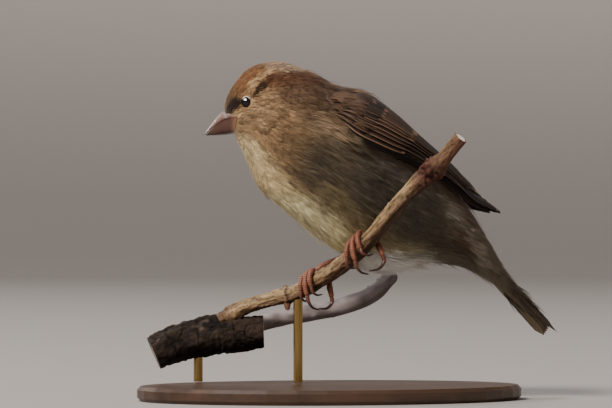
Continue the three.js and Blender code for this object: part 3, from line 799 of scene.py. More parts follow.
FACE_REACH = 20.0  # mm beside the bird's middle from which rays look for its cheek


def along_table(table, t):
    """Reads the columns of a table at shares t of the length."""
    knots = [row[0] for row in table]
    return [np.interp(t, knots, [row[k] for row in table]) for k in range(1, len(table[0]))]


def cheek_at(x, z, side):
    """How far out the skin is at a place of the head seen from the side, or 0 off the head."""
    start = turned(np.array([x, side * FACE_REACH, z]), 0.0)
    way = turned(np.array([x, side * (FACE_REACH - 1), z]), 0.0) - start
    hit, _, _, far = skin_tree.ray_cast(Vector(start), Vector(way))
    return FACE_REACH - far if hit is not None and far < FACE_REACH else 0.0


def mandible(name, shape, node_name, colours):
    """A closed horn: its arc runs from one cutting edge over the ridge to the other."""
    t = np.linspace(0, 1, BILL_ROWS)
    ridge_x, ridge_z = along_table(shape["ridge"], t)
    edge_x, edge_z = along_table(shape["edge"], t)
    width = along_table(shape["width"], t)[0]
    arc = np.linspace(-1, 1, 2 * BILL_ARC + 1)
    drop = 1 - np.cos(np.abs(arc) * np.pi / 2)
    points, tints = [], []
    edge_tint, side_tint, ridge_highlight_and_shade, tip_tint, gape_tint = (ink(*c) for c in colours)
    for i in range(BILL_ROWS):
        for a, s in zip(arc, drop):
            x = ridge_x[i] + (edge_x[i] - ridge_x[i]) * s
            z = ridge_z[i] + (edge_z[i] - ridge_z[i]) * s
            y = width[i] * math.sin(abs(a) * math.pi / 2) ** 0.8
            side = 1 if a >= 0 else -1
            if t[i] < 0.5 and abs(a) > 0.3:
                proud = HORN_PROUD * float(step_up(abs(a), 0.3, 0.55))
                y = max(y, cheek_at(x, z, side) + proud * float(1 - step_up(t[i], 0.4, 0.5)))
            points.append(turned(np.array([x, side * y, z]), 0.0))
            # the ridge colour is painted light: a highlight along the upper mandible's ridge, shade along the
            # lower one's keel
            tint = ridge_highlight_and_shade + (side_tint - ridge_highlight_and_shade) * step_up(abs(a), 0.15, 0.5)
            tint = tint + (edge_tint - tint) * step_up(abs(a), 0.78, 0.98)
            tint = tint + (tip_tint - tint) * 0.85 * step_up(t[i], 0.72, 1.0)
            tints.append(tint + (gape_tint - tint) * 0.8 * (1 - step_up(t[i], 0.02, 0.22)))
    around = len(arc)
    ends = [np.mean(points[:around], axis=0), np.mean(points[-around:], axis=0)]
    piece = closed_piece(name, [(np.vstack([points, *ends]), tube_faces(BILL_ROWS, around))])
    paint(piece, "Tint", np.vstack([tints, [gape_tint], [tip_tint]]))
    shade_soft(piece, 50)
    piece.data.materials.append(bill_horn)
    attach(piece, "root")
    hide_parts(node_name)
    print(name, "faces:", len(piece.data.polygons))


bill_horn, tree, shader = new_finish("bill_horn", 0.34, Coat_Weight=0.15, Coat_Roughness=0.25)
growth = node(tree, "ShaderNodeMapping",
              [("Vector", object_place(tree)), ("Rotation", (0, 0.7, -0.2)), ("Scale", (0.25, 1, 1))])
barbed(tree, shader, growth.outputs[0], 1500.0, 0.3, own_colour(tree), 0.12)

# cutting edge, side, ridge, tip, corner of the mouth; the ridge colour is painted light: a highlight on the
# upper's ridge, painted shade on the lower's keel underneath
mandible("bill_upper_horn", UPPER, "bill_upper",
         [(70, 36, 28), (124, 98, 88), (166, 150, 146), (60, 44, 40), (150, 112, 78)])
mandible("bill_lower_horn", LOWER, "bill_lower",
         [(82, 50, 38), (86, 57, 45), (36, 26, 23), (38, 27, 25), (140, 98, 70)])

# %% [markdown]
# The eye is a dark glossy ball set in the head, and only its cap shows between the lids. A rim of
# bare skin rings it, dark, and pale along the upper part of its outer edge. The rim is a torus,
# stretched upright, turned to face out of the head and pressed on to the ball.

# %% Lids
LID_OPENING = np.array([1.18, 1.5])  # half width and half height of what shows of the eye
LID_THICKNESS, TORUS_TUBE = 0.22, 0.2
LID_DARK, LID_PALE = ink(34, 25, 21), ink(232, 224, 208)
LOOKED_AT = (-29.0, 17.0, 101.4)  # the place beside the head that the right eye faces

lid_skin = tinted_finish("lid_skin", 0.85, 4000, 0.5, 0.4, Specular_IOR_Level=0.1)

for name, side in SIDES.items():
    centre = eye_centres[name]
    outward = unit(turned(np.array([LOOKED_AT[0], LOOKED_AT[1] * side, LOOKED_AT[2]]), 0.0) - centre)
    upward = unit(np.array([0, 0, 1.0]) - outward * outward[2])
    forward = np.cross(upward, outward)
    bpy.ops.mesh.primitive_torus_add(major_radius=1, minor_radius=TORUS_TUBE, major_segments=48,
                                     minor_segments=10)
    lid = bpy.context.object
    lid.name = lid.data.name = f"lid_{name}"
    flat = np.array([v.co for v in lid.data.vertices])
    ring = unit(flat[:, :2])
    reach = np.hypot(flat[:, 0], flat[:, 1]) - 1
    seen = ring * (LID_OPENING + LID_THICKNESS * 0.8) + ring * (reach / TORUS_TUBE * LID_THICKNESS)[:, None]
    rise = flat[:, 2] / TORUS_TUBE * LID_THICKNESS
    depth = np.sqrt(np.maximum((EYE_RADIUS + 0.02) ** 2 - (seen**2).sum(axis=1), 0.4)) + rise
    level = cheek_at(EYE_AT[0], EYE_AT[2], side) - EYE_AT[1]
    depth = np.maximum(depth, level + 0.08 + rise)
    move_points(lid, centre + forward * seen[:, :1] + upward * seen[:, 1:] + outward * depth[:, None])
    arc = step_up(ring[:, 1], 0.35, 0.8) * step_up(reach, -0.12, 0.02)
    paint(lid, "Tint", LID_DARK + (LID_PALE - LID_DARK) * arc[:, None])
    lid.data.materials.clear()
    lid.data.materials.append(lid_skin)
    shade_soft(lid)
    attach(lid, "root")
    print(lid.name, "stands on the skin at", round(level, 2), "mm from the eye's centre")

# %% [markdown]
# The folded wing lies on a surface of its own, from the shoulder to the tip and from its lower edge
# to its upper one. It is the same surface as the wing solids have. Feathers are placed on it by two
# shares, and body feathers that would be buried under it are left out.

# %% The surface of the folded wing
WING_STATIONS = [
    [-0.8, 17.0, 95.6, 1.6, 9.0, 104.1, 1.6, 2.0],
    [2.5, 20.8, 89.5, 8.3, 6.5, 103.9, 3.2, 2.4],
    [11.4, 21.4, 84.2, 17.9, 5.4, 99.5, 3.8, 2.4],
    [23.6, 19.4, 79.3, 28.7, 5.0, 89.6, 3.2, 2.2],
    [37.2, 14.0, 72.9, 40.5, 5.0, 79.5, 2.0, 1.9],
    [47.9, 9.6, 65.6, 50.5, 5.0, 70.8, 1.0, 1.5],
    [58.0, 8.2, 63.1, 58.1, 7.2, 64.4, 0.2, 0.8],
]
wing_lower = smooth_line([s[:3] for s in WING_STATIONS])
wing_upper = smooth_line([s[3:6] for s in WING_STATIONS])
wing_form = smooth_line([[i, s[6], s[7]] for i, s in enumerate(WING_STATIONS)])


def wing_point(share, across, over=0.0, side=-1):
    """Points on the wing: share from shoulder to tip, across from lower to upper edge, mm over it."""
    share, across, over = (
        a.ravel() for a in np.broadcast_arrays(*[np.asarray(v, float) for v in (share, across, over)]))
    ahead, share = np.minimum(share, 0)[:, None] / 1e-2, np.clip(share, 1e-3, 1)
    low, high = (edge(share) + ahead * (edge(1e-2) - edge(0)) for edge in (wing_lower, wing_upper))
    run = sum(unit(edge(share + 1e-3) - edge(share - 1e-3)) for edge in (wing_lower, wing_upper))
    outward = unit(np.cross(high - low, unit(run)))
    outward *= np.where(outward[:, 1:2] < 0, -1, 1)
    shape = wing_form(share)
    proud = shape[:, 1] * 4 * across * (1 - across)
    thick = shape[:, 2] / 2 * np.sqrt(np.clip(1 - (2 * across - 1) ** 2, 0, 1))
    points = low + (high - low) * across[:, None] + outward * (proud + thick + over)[:, None]
    return points * np.array([1, side, 1])


def wing_grid(shares, acrosses, over):
    """Points at each share and place across, on both wings, at mm over them."""
    share, across = np.meshgrid(shares, acrosses)
    return np.vstack([wing_point(share, across, over, side) for side in SIDES.values()])


under_wing = search_tree(wing_grid(np.linspace(0.04, 0.97, 40), np.linspace(0.1, 0.9, 12), -1.5))
wing_top = wing_grid(np.linspace(0, 0.9, 90), np.linspace(-0.04, 1.04, 40), 0.3)
over_wing = search_tree(wing_top)

TWIG_POINTS = [
    [35.2, -42.2, 88.4, 2.3], [30.3, -38.1, 81.4, 2.4], [21.1, -31.1, 71.2, 2.45], [14.3, -24.1, 62.0, 2.6],
    [7.9, -15.0, 52.0, 2.75], [2.9, -4.2, 45.6, 2.8], [-2.2, 6.1, 40.7, 2.75], [-7.9, 15.0, 36.3, 2.65],
    [-16.7, 22.5, 33.4, 2.5], [-25.5, 26.9, 30.3, 2.6], [-31.5, 29.4, 26.0, 3.0],
]
TWIG_KNOTS = [(0.13, 1.3, 0.022), (0.175, 0.8, 0.02), (0.735, 0.4, 0.01), (0.93, 0.5, 0.03)]
twig_line, twig_size = smooth_line([p[:3] for p in TWIG_POINTS]), number_line([p[3] for p in TWIG_POINTS])


def hump(share, at, width):
    """1 at a place along a stick, and softly 0 away from it."""
    return np.exp(-(((np.asarray(share) - at) / width) ** 2))


def twig_radius(share):
    return sum((height * hump(share, at, width) for at, height, width in TWIG_KNOTS), twig_size(share))


twig_shares = np.linspace(0, 1, 240)
twig_at, twig_wide = twig_line(twig_shares), twig_radius(twig_shares)
print("wing length in mm:", round(float(np.linalg.norm(wing_point(0, 0.5) - wing_point(1, 0.5))), 1))

# %% [markdown]
# Now the coat is grown, part by part. A feather whose root is under the wing, in the eye or under
# the twig isn't made, and points that would cross the twig are moved clear of its bark. Each piece
# gets a map named OFBake, on which every feather is a small patch at its root's place.

# %% Grow the coat
TWIG_CLEARANCE = 0.25
SOFTNESS = 0.7
SHOULDER_REACH = 7.0  # mm from a wing's front to the roots of the feathers that cover it
LORES_REACH = 6.6  # mm from an eye to the roots of the smallest feathers
FLUFF_ENDS = 27.0  # the loose belly feathers are rooted in front of this x
PATCH = 0.003  # size of one feather on the OFBake map
STREAKS_AROUND, STREAK_DEPTH = 180, 0.75
TICKS = {"face": 0.08, "head": 0.08, "body": 0.02, "wisp": 0.1, "fluff": 0}  # share that have a dark tick
HORN_END = (-31.6, 90.2)  # no feather is rooted on the bill, ahead of this x and above this z


def clear_of_twig(points):
    """Moves points out of the twig, straight away from its middle line."""
    flat = points.reshape(-1, 3).copy()
    near = np.where((flat[:, 2] > 25) & (flat[:, 2] < 92))[0]  # the heights that the twig runs through
    for some in np.array_split(near, len(near) // 20000 + 1):
        gaps = np.linalg.norm(flat[some][:, None] - twig_at[None], axis=2)
        best = gaps.argmin(axis=1)
        wanted = twig_wide[best] * 1.05 + TWIG_CLEARANCE
        short = gaps[np.arange(len(some)), best] < wanted
        rows = some[short]
        middle = twig_at[best[short]]
        flat[rows] = middle + unit(flat[rows] - middle) * wanted[short][:, None]
    return flat.reshape(points.shape)


def soften(piece, normals):
    """Shades a piece of feathers mostly as the skin under it, so that the coat looks soft."""
    own = read_all(piece.data.vertices, "normal")
    piece.data.normals_split_custom_set_from_vertices(
        unit(unit(normals) * SOFTNESS + own * (1 - SOFTNESS)).tolist())


def built(name, points, faces, tints, patches, finish=None):
    """A piece from arrays of points in mm, triangles, linear tints and places on the OFBake map."""
    mesh = bpy.data.meshes.new(name)
    mesh.vertices.add(len(points))
    mesh.vertices.foreach_set("co", (points * MM).astype(np.float32).ravel())
    mesh.loops.add(faces.size)
    mesh.loops.foreach_set("vertex_index", faces.astype(np.int32).ravel())
    mesh.polygons.add(len(faces))
    mesh.polygons.foreach_set("loop_start", (np.arange(len(faces)) * faces.shape[1]).astype(np.int32))
    mesh.polygons.foreach_set("use_smooth", np.ones(len(faces), bool))
    mesh.update(calc_edges=True)
    layer = mesh.uv_layers.new(name="OFBake")
    layer.data.foreach_set("uv", patches[faces.ravel()].astype(np.float32).ravel())
    piece = bpy.data.objects.new(name, mesh)
    bpy.context.scene.collection.objects.link(piece)
    paint(piece, "Tint", tints)
    piece.data.materials.append(finish or body_plumage)
    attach(piece, "root")
    return piece


def laid_over_wing(at, out):
    """Lifts the points of feathers that would run under a wing's front on to the wing."""
    flat, normal = at.reshape(-1, 3), out.reshape(-1, 3)
    found = wing_top[[over_wing.find(p)[1] for p in flat]]
    height = ((found - flat) * normal).sum(axis=1)
    beside = np.linalg.norm(found - flat - normal * height[:, None], axis=1)
    under = ((height > 0) & (beside < 3)).reshape(-1, 4)
    lift = (np.where((height > 0) & (height < 7), height, 0) * (1 - step_up(beside, 0.5, 2.0))).reshape(-1, 4)
    lift = np.where(under[:, :1], 0, lift).ravel()
    return (flat + normal * lift[:, None]).reshape(at.shape)


def streaks_at(roots_out, lay, station, angle, across, along):
    """Light and dark streaks that run on from feather to feather, at mm across and along each one."""
    turn = (body_point(station, angle + 0.02) - body_point(station, angle - 0.02)) / 0.04
    step = np.linalg.norm(body_point(station + 0.05, angle) - body_point(station - 0.05, angle), axis=1) / 0.1
    sideways = unit(np.cross(lay, roots_out))
    turn_share = (sideways * turn).sum(axis=1) / np.maximum((turn**2).sum(axis=1), 1e-6)
    u = (angle[:, None] + across * turn_share[:, None]) / (2 * np.pi)
    v = station[:, None] + along / np.maximum(step, 1e-6)[:, None]
    fine = patchwork(u * STREAKS_AROUND, v * 1.3, STREAKS_AROUND, 3) - 0.5
    broad = patchwork(u * STREAKS_AROUND / 4, v * 0.9 + 7, STREAKS_AROUND // 4, 4) - 0.5
    strength = STREAK_DEPTH * (1 - 0.7 * step_up(station, 5.5, 8.0))[:, None]
    return 1 + strength * (fine + 0.5 * broad)


def feathered(name, kept, length, spread, kind, depth_share, over_the_wing=False):
    """One coat piece from the darts kept."""
    roots, station, angle = darts[kept], dart_station[kept], dart_angle[kept]
    count = len(kept)
    lay = lay_of(station, angle)
    lay = unit(lay + chance.normal(0, 0.09, lay.shape))
    length = length * chance.uniform(0.85, 1.15, count) * (1 + 0.8 * step_up(station, 12.4, 13.8))
    for centre in eye_centres.values():
        away = roots - centre
        gap = np.linalg.norm(away, axis=1)
        near = (1 - step_up(gap, 3.2, 6.5))[:, None]
        away = away / gap[:, None]
        inward = np.minimum((lay * away).sum(axis=1), 0)[:, None]
        lay = unit(lay - away * inward * near)
        length = length * (1 - 0.6 * (1 - step_up(gap, 2.6, 5.5)))
    at, out = spines(roots, lay, length)
    beyond = step_up(station, 12.2, 12.8)[:, None, None]
    straight = roots[:, None] + lay[:, None] * (length[:, None] * np.linspace(0, 1, 4))[..., None]
    at, out = at + (straight - at) * beyond, out + (out[:, :1] - out) * beyond
    if over_the_wing:
        at = laid_over_wing(at, out)
    spot = at[:, 2] + chance.normal(0, 0.16 * spread, (count, 3))
    colour = markings(plain(spot, station), station, angle)
    colour = colour * chance.normal(1, 0.05, (count, 1))
    ticks = chance.random(count) < TICKS[kind] * (1 - 0.7 * step_up(station, 6.0, 8.0))
    colour[ticks] *= chance.uniform(0.55, 0.8, (int(ticks.sum()), 1))
    depth = coat_depth(station, angle) * depth_share * chance.uniform(0.88, 1.05, count)
    if kind == "wisp":
        depth = depth * np.where(chance.random(count) < 0.2, 1.7, 1.0)
    points, faces, tints, patches, normals = [], [], [], [], []
    place = np.stack([0.02 + 0.95 * station / LAST_STATION, 0.02 + 0.95 * angle / (2 * np.pi)], axis=1)
    shift = 0
    for variant, (fan, fan_faces, tone_and_root_shade) in enumerate(fans[kind]):
        rows = np.arange(variant, count, VARIANTS)
        wide = spread * length[rows] / length.mean()
        body, facing = grow(fan, at[rows], out[rows], wide, depth[rows])
        normals.append(facing.reshape(-1, 3))
        points.append(clear_of_twig(body).reshape(-1, 3))
        starts = shift + len(fan) * np.arange(len(rows))
        faces.append((starts[:, None, None] + fan_faces[None]).reshape(-1, 3))
        streaks = streaks_at(out[rows, 0], lay[rows], station[rows], angle[rows],
                             fan[None, :, 0] * (wide / 2)[:, None], fan[None, :, 1] * length[rows][:, None])
        tints.append((colour[rows][:, None] * (tone_and_root_shade[None, :] * streaks)[..., None]).reshape(-1, 3))
        local = (fan[:, :2] * (0.5, 1) + (0.5, 0)) * PATCH
        patches.append((place[rows][:, None] + local[None]).reshape(-1, 2))
        shift += len(fan) * len(rows)
    points, faces, tints, patches, normals = map(np.concatenate, (points, faces, tints, patches, normals))
    piece = built(name, points, faces, np.clip(tints, 0, 1), patches)
    soften(piece, normals)
    return piece


def bare(points):
    """True where no feather is rooted: under a wing, in the eye, on the bill or against the twig."""
    face = plain(points, np.zeros(len(points)))
    horn = (face[:, 0] < HORN_END[0]) & (face[:, 2] > HORN_END[1])
    horn &= face[:, 2] < 96.5 + 0.25 * (-31.3 - face[:, 0])
    wing = np.array([under_wing.find(p)[2] for p in points]) < 2.6
    eye = eye_gap(points) < EYE_RADIUS + 0.3
    gaps = np.linalg.norm(points[:, None] - twig_at[None, ::4], axis=2) - twig_wide[None, ::4]
    return wing | eye | horn | (gaps.min(axis=1) < 0.3)


front_of_wing = search_tree(wing_grid([0.0], np.linspace(0, 1, 24), 0.0))
total = 0
for name, start, stop, spacing, length, spread, kind, depth_share in COAT_PARTS:
    here = np.where((dart_station >= start) & (dart_station < stop))[0]
    here = here[thinned(darts[here], spacing)]
    if name == "coat_lores":
        here = here[eye_gap(darts[here]) < LORES_REACH]
    if name == "coat_shoulders":
        here = here[np.array([front_of_wing.find(p)[2] for p in darts[here]]) < SHOULDER_REACH]
    if name == "fluff_belly":
        here = here[(np.cos(dart_angle[here]) < -0.86) & (darts[here, 0] < FLUFF_ENDS)]
    here = here[~bare(darts[here])]
    piece = feathered(name, here, length, spread, kind, depth_share, name == "coat_shoulders")
    total += len(piece.data.polygons)
    print(name, "feathers:", len(here), "triangles:", len(piece.data.polygons))
print("coat triangles:", total)

# %% [markdown]
# A wing or tail feather is a firm vane: a long closed blade with a raised shaft down its middle,
# rounded at the tip, dark along the shaft and paler at the rim. One helper bends such a blade along
# any line, and every feather of a wing is a row of a short table: where it starts, where it ends,
# how wide it is and how high it lies over its neighbours.

# %% One blade
BLADE_ROWS = 13
RIM = np.array([-1, -0.55, -0.07, 0.07, 0.55, 1, 0.5, -0.5])  # across, over the top and back below
RISE = np.array([0, 0.62, 1.0, 1.0, 0.62, 0, 0.35, 0.35])
RIM_BELOW, SHAFT = np.array([0, 0, 0, 0, 0, 0, 1, 1]), np.array([0, 0, 1, 1, 0, 0, 0, 0])
SHAFT_RISE = 0.07


def blade(line, out, half_width, camber, thickness, round_from):
    """Points, triangles and own map of one blade along a line of points."""
    rows, n = len(line), len(RIM)
    t = np.linspace(0, 1, rows)
    along = unit(np.gradient(line, axis=0))
    across = unit(np.cross(out, along))
    tip = np.sqrt(np.clip(1 - (np.maximum(t - round_from, 0) / (1 - round_from)) ** 2, 0.02, 1))
    wide = half_width * (0.45 + 0.55 * step_up(t, 0, 0.35)) * tip
    high = RISE * camber - RIM_BELOW * thickness + SHAFT * SHAFT_RISE
    middle = line[:, None] + across[:, None] * (RIM[None, :] * wide[:, None])[..., None]
    points = middle + out[:, None] * (high[None, :] * tip[:, None])[..., None]
    points = np.vstack([points.reshape(-1, 3), line[0], line[-1] + along[-1] * half_width * 0.05])
    i, j = np.meshgrid(np.arange(rows - 1), np.arange(n), indexing="ij")
    k = (j + 1) % n
    a, b, c, d = i * n + j, i * n + k, (i + 1) * n + k, (i + 1) * n + j
    faces = [np.stack(three, -1).reshape(-1, 3) for three in ((a, b, c), (a, c, d))]
    j, k, last = np.arange(n), (np.arange(n) + 1) % n, (rows - 1) * n
    faces += [np.stack([0 * j + rows * n, k, j], 1), np.stack([0 * j + rows * n + 1, last + j, last + k], 1)]
    own = np.stack(np.broadcast_arrays((RIM[None, :] + 1) / 2, t[:, None]), -1).reshape(-1, 2)
    own = np.vstack([own, [[0.5, 0], [0.5, 1]]])
    return points, np.concatenate(faces), own


def vane_finish(name, rim_width, tip_width):
    """A vane: its tint along the shaft, its rim colour at the edges, a shaft line and barbs."""
    made, tree, shader = new_finish(name, 0.6, Specular_IOR_Level=0.3)
    own = node(tree, "ShaderNodeUVMap", uv_map="Vane").outputs["UV"]
    parts = node(tree, "ShaderNodeSeparateXYZ", [("Vector", own)])
    across, along = parts.outputs["X"], parts.outputs["Y"]
    rough = node(tree, "ShaderNodeTexNoise",
                 [("Vector", object_place(tree)), ("Scale", 500.0), ("Detail", 3.0)]).outputs["Fac"]
    ragged = math_node(tree, "MULTIPLY", math_node(tree, "SUBTRACT", rough, 0.5), 0.12)
    off = math_node(tree, "ABSOLUTE", math_node(tree, "MULTIPLY_ADD", across, 2.0, -1.0))
    side = smooth_range(tree, math_node(tree, "ADD", off, ragged), 1 - rim_width * 1.5, 1 - rim_width * 0.5)
    end = smooth_range(tree, math_node(tree, "ADD", along, ragged), 1 - tip_width * 1.4, 1 - tip_width * 0.5)
    rim = math_node(tree, "MAXIMUM", side, end)
    colour = mix_colour(tree, rim, own_colour(tree), own_colour(tree, "Edge"))
    shaft = smooth_range(tree, off, 0.03, 0.09, 0.55, 0.0)
    colour = mix_colour(tree, shaft, colour, rgba(ink(34, 24, 18)))
    slanted = math_node(tree, "SUBTRACT", along, math_node(tree, "MULTIPLY", off, 0.35))
    narrowed = math_node(tree, "MULTIPLY", off, 0.06)
    barb_at = node(tree, "ShaderNodeCombineXYZ", [("X", narrowed), ("Y", slanted)]).outputs[0]
    barbed(tree, shader, barb_at, 70.0, 0.5, colour, 0.3)
    return made


covert_vane = vane_finish("covert_vane", 0.2, 0.08)
flight_vane = vane_finish("flight_vane", 0.13, 0.03)


def vaned_piece(name, blades, finish):
    """One piece of many blades, each (points, faces, own map, tint, rim colour)."""
    columns = math.ceil(math.sqrt(len(blades)))
    points, faces, own, tints, edges, patches, shift = [], [], [], [], [], [], 0
    for number, (p, f, o, tint, edge) in enumerate(blades):
        points.append(p)
        faces.append(f + shift)
        own.append(o)
        tints.append(np.broadcast_to(tint, (len(p), 3)))
        edges.append(np.broadcast_to(edge, (len(p), 3)))
        patches.append((o * 0.9 + 0.05 + [number % columns, number // columns]) / columns)
        shift += len(p)
    points, faces, own, tints, patches = map(np.concatenate, (points, faces, own, tints, patches))
    piece = built(name, points, faces, tints, patches, finish)
    paint(piece, "Edge", np.concatenate(edges))
    layer = piece.data.uv_layers.new(name="Vane")
    layer.data.foreach_set("uv", own[faces.ravel()].astype(np.float32).ravel())
    return piece


print("triangles in one blade:", 2 * len(RIM) * (BLADE_ROWS - 1) + 2 * len(RIM))

# %% [markdown]
# The wing is dressed from the tip forwards, as it folds: primaries lowest, then secondaries, the
# three tertials, the dark coverts of the hand, and over their roots greater, median and lesser
# coverts. Each row runs from its first feather to its last, and the loop fills in what lies between.

# %% The wing feathers
DARK = ink(38, 29, 24)
WING_ROWS = [
    # name, count, first (root share, root across, tip share, tip across), last, width, mm over the wing's
    # outline at the first one's root and tip, and at the last one's, tint, rim colour, kind of blade
    ("primaries", 8, (0.34, 0.06, 0.99, 0.48), (0.36, 0.34, 0.80, 0.30), 3.9, (-1.1, -0.7), (-0.7, -0.35),
     DARK * 0.7, ink(100, 86, 74), "flight"),
    ("secondaries", 6, (0.26, 0.24, 0.74, 0.26), (0.26, 0.56, 0.80, 0.66), 5.4, (-0.9, -0.5), (-0.6, -0.2),
     DARK * 0.8, ink(118, 96, 80), "flight"),
    ("hand_coverts", 6, (0.14, 0.03, 0.62, 0.08), (0.14, 0.12, 0.46, 0.16), 3.8, (-0.9, -0.3), (-0.7, -0.1),
     DARK * 0.5, ink(46, 36, 30), "flight"),
    ("tertials", 3, (0.24, 0.62, 0.64, 0.58), (0.24, 0.86, 0.83, 0.86), 7.0, (-0.5, -0.1), (-0.4, 0.0),
     DARK * 0.9, ink(146, 114, 90), "flight"),
    ("greater_coverts", 14, (0.10, 0.10, 0.46, 0.12), (0.10, 1.0, 0.50, 1.0), 4.4, (-0.5, 0.0), (-0.4, 0.15),
     ink(60, 44, 36), ink(146, 114, 92), "covert"),
    ("median_coverts", 11, (0.04, 0.16, 0.28, 0.16), (0.06, 1.02, 0.36, 0.98), 4.6, (-0.2, 0.25), (-0.2, 0.3),
     ink(38, 28, 22), ink(122, 96, 80), "covert"),
    ("lesser_coverts_low", 9, (-0.04, 0.16, 0.18, 0.16), (-0.02, 0.88, 0.24, 0.86), 4.8,
     (0.0, 0.4), (0.0, 0.45), ink(70, 50, 39), ink(100, 76, 59), "covert"),
    ("lesser_coverts_high", 8, (-0.10, 0.2, 0.09, 0.16), (-0.08, 0.9, 0.14, 0.88), 4.6,
     (0.1, 0.5), (0.1, 0.55), ink(76, 56, 44), ink(102, 79, 62), "covert"),
    ("scapulars_front", 7, (-0.14, 0.50, 0.10, 0.46), (-0.14, 1.22, 0.14, 1.16), 5.0, (0.2, 0.7), (0.2, 0.5),
     ink(62, 44, 35), ink(98, 75, 60), "covert"),
    ("scapulars_middle", 6, (-0.02, 0.72, 0.26, 0.72), (0.0, 1.24, 0.30, 1.14), 5.4, (0.2, 0.6), (0.1, 0.4),
     ink(50, 35, 27), ink(124, 97, 78), "covert"),
    ("scapulars_rear", 5, (0.12, 0.92, 0.40, 0.96), (0.14, 1.24, 0.44, 1.14), 4.6, (0.1, 0.4), (0.0, 0.3),
     ink(48, 34, 27), ink(132, 104, 84), "covert"),
]
SHOULDER_SINK = 3.2  # how far the wing's front dives under the breast feathers
RIDGE_SINK = 1.5  # how far the feathers along the back edge lie below its outline
LAP = 0.3  # slope at which each feather's lower edge stands over the next feather down
BLADE_SHAPES = {"flight": (0.25, 0.7), "covert": (0.4, 0.75)}  # camber, share where the tip starts to round
WING_PIECES = [  # kind, finish, slot, lengths of the wing that the piece replaces
    ("flight", flight_vane, "flight_feather", ("secondaries", "primaries")),
    ("covert", covert_vane, "wing_coverts", ("coverts",)),
]


def wing_blades(side, row):
    """The blades of one row, each (points, faces, own map, tint, rim colour)."""
    _, count, first, last, width, low, high, tint, rim, kind = row
    v = np.linspace(0, 1, BLADE_ROWS)
    camber, tip_from = BLADE_SHAPES[kind]
    made = []
    for t in np.arange(count) / (count - 1):
        root_s, root_a, tip_s, tip_a = [a + (b - a) * t for a, b in zip(first, last)]
        at_root, at_tip = [a + (b - a) * t for a, b in zip(low, high)]
        over = at_root + (at_tip - at_root) * v**0.7 + chance.normal(0, 0.04)
        share, across = root_s + (tip_s - root_s) * v, root_a + (tip_a - root_a) * v
        sunk = SHOULDER_SINK * (1 - step_up(share, -0.06, 0.16)) * (1 - 0.2 * step_up(across, 0.5, 1.1))
        over = over - sunk - RIDGE_SINK * step_up(across, 0.6, 1.1)
        line = wing_point(share, across, over, side)
        out = unit(wing_point(share, across, over + 1, side) - line)
        out = unit(out + LAP * unit(wing_point(share, across + 0.02, over, side) - line))
        p, f, own = blade(line, out, width / 2 * chance.uniform(0.94, 1.06), camber, 0.1, tip_from)
        made.append((p, f, own, tint * chance.normal(1, 0.18), rim * chance.normal(1, 0.12)))
    return made


for side_name, side in SIDES.items():
    for kind, finish, slot, lengths in WING_PIECES:
        blades = [b for row in WING_ROWS if row[-1] == kind for b in wing_blades(side, row)]
        piece = vaned_piece(f"wing_{side_name}_{kind}_feathers", blades, finish)
        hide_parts(*[f"wing_{side_name}_{length}" for length in lengths])
        print(piece.name, "triangles:", len(piece.data.polygons))

# %% [markdown]
# Under the feathers of a wing lies its bed, a thin form that closes every chink, painted dark all over
# as the shade in the chinks between the feathers. It is a copy of the three wing solids, swollen until
# they touch, welded by a voxel remesh, drawn in again, and moved about a millimetre towards the body
# and half as far down.

# %% The wing beds, painted dark as shade
BED_VOXEL, BED_ROUNDS = 0.5, 3  # mm, and rounds of smoothing
BED_SWELL, BED_DEPTH = 0.3, 0.45  # mm that the copies grow by, and that the bed ends inside the solids
BED_WAY, BED_SUNK = np.array([0, 0.9, 0.45]), 1.1  # the way to the body and down, and how far along it


def welded(name, nodes):
    """A smooth copy of CAD nodes as one closed piece."""
    bpy.ops.object.select_all(action="DESELECT")
    copies = []
    for node_name in nodes:
        twin = bpy.data.objects[node_name].copy()
        twin.data = twin.data.copy()
        for key in list(twin.keys()):
            del twin[key]
        bpy.context.scene.collection.objects.link(twin)
        twin.hide_render = twin.hide_viewport = False
        twin.hide_set(False)
        copies.append(twin)
    for twin in copies:
        twin.select_set(True)
    bpy.context.view_layer.objects.active = copies[0]
    bpy.ops.object.join()
    made = bpy.context.object
    made.name = made.data.name = name
    made.parent = None
    bpy.ops.object.mode_set(mode="EDIT")
    bpy.ops.mesh.select_all(action="SELECT")
    bpy.ops.mesh.remove_doubles(threshold=1e-6)
    bpy.ops.object.mode_set(mode="OBJECT")
    at, out = points_of(made)
    move_points(made, at + out * BED_SWELL)
    apply_modifier(made, "REMESH", mode="VOXEL", voxel_size=BED_VOXEL * MM)
    apply_modifier(made, "SMOOTH", factor=0.5, iterations=BED_ROUNDS)
    at, out = points_of(made)
    move_points(made, at - out * (BED_DEPTH + BED_SWELL))
    made.data.materials.clear()
    shade_soft(made)
    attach(made, "root")
    return made


for side_name, side in SIDES.items():
    lengths = [f"wing_{side_name}_{length}" for length in ("coverts", "secondaries", "primaries")]
    shade_bed = welded(f"wing_{side_name}_bed", lengths)
    at, _ = points_of(shade_bed)
    move_points(shade_bed, at - BED_WAY * [1, side, 1] * BED_SUNK)
    # painted shade: the bed is dark brown all over, as the chinks between feathers are in shade
    paint(shade_bed, "Tint", np.tile(DARK * 0.8, (len(at), 1)))
    shade_bed.data.materials.append(body_plumage)
    print(shade_bed.name, "points:", len(at))

# %% [markdown]
# The tail is twelve feathers folded into one narrow stack. The middle pair lies on top, and each
# pair under it reaches a little further out. The tail leans down on the bird's right.

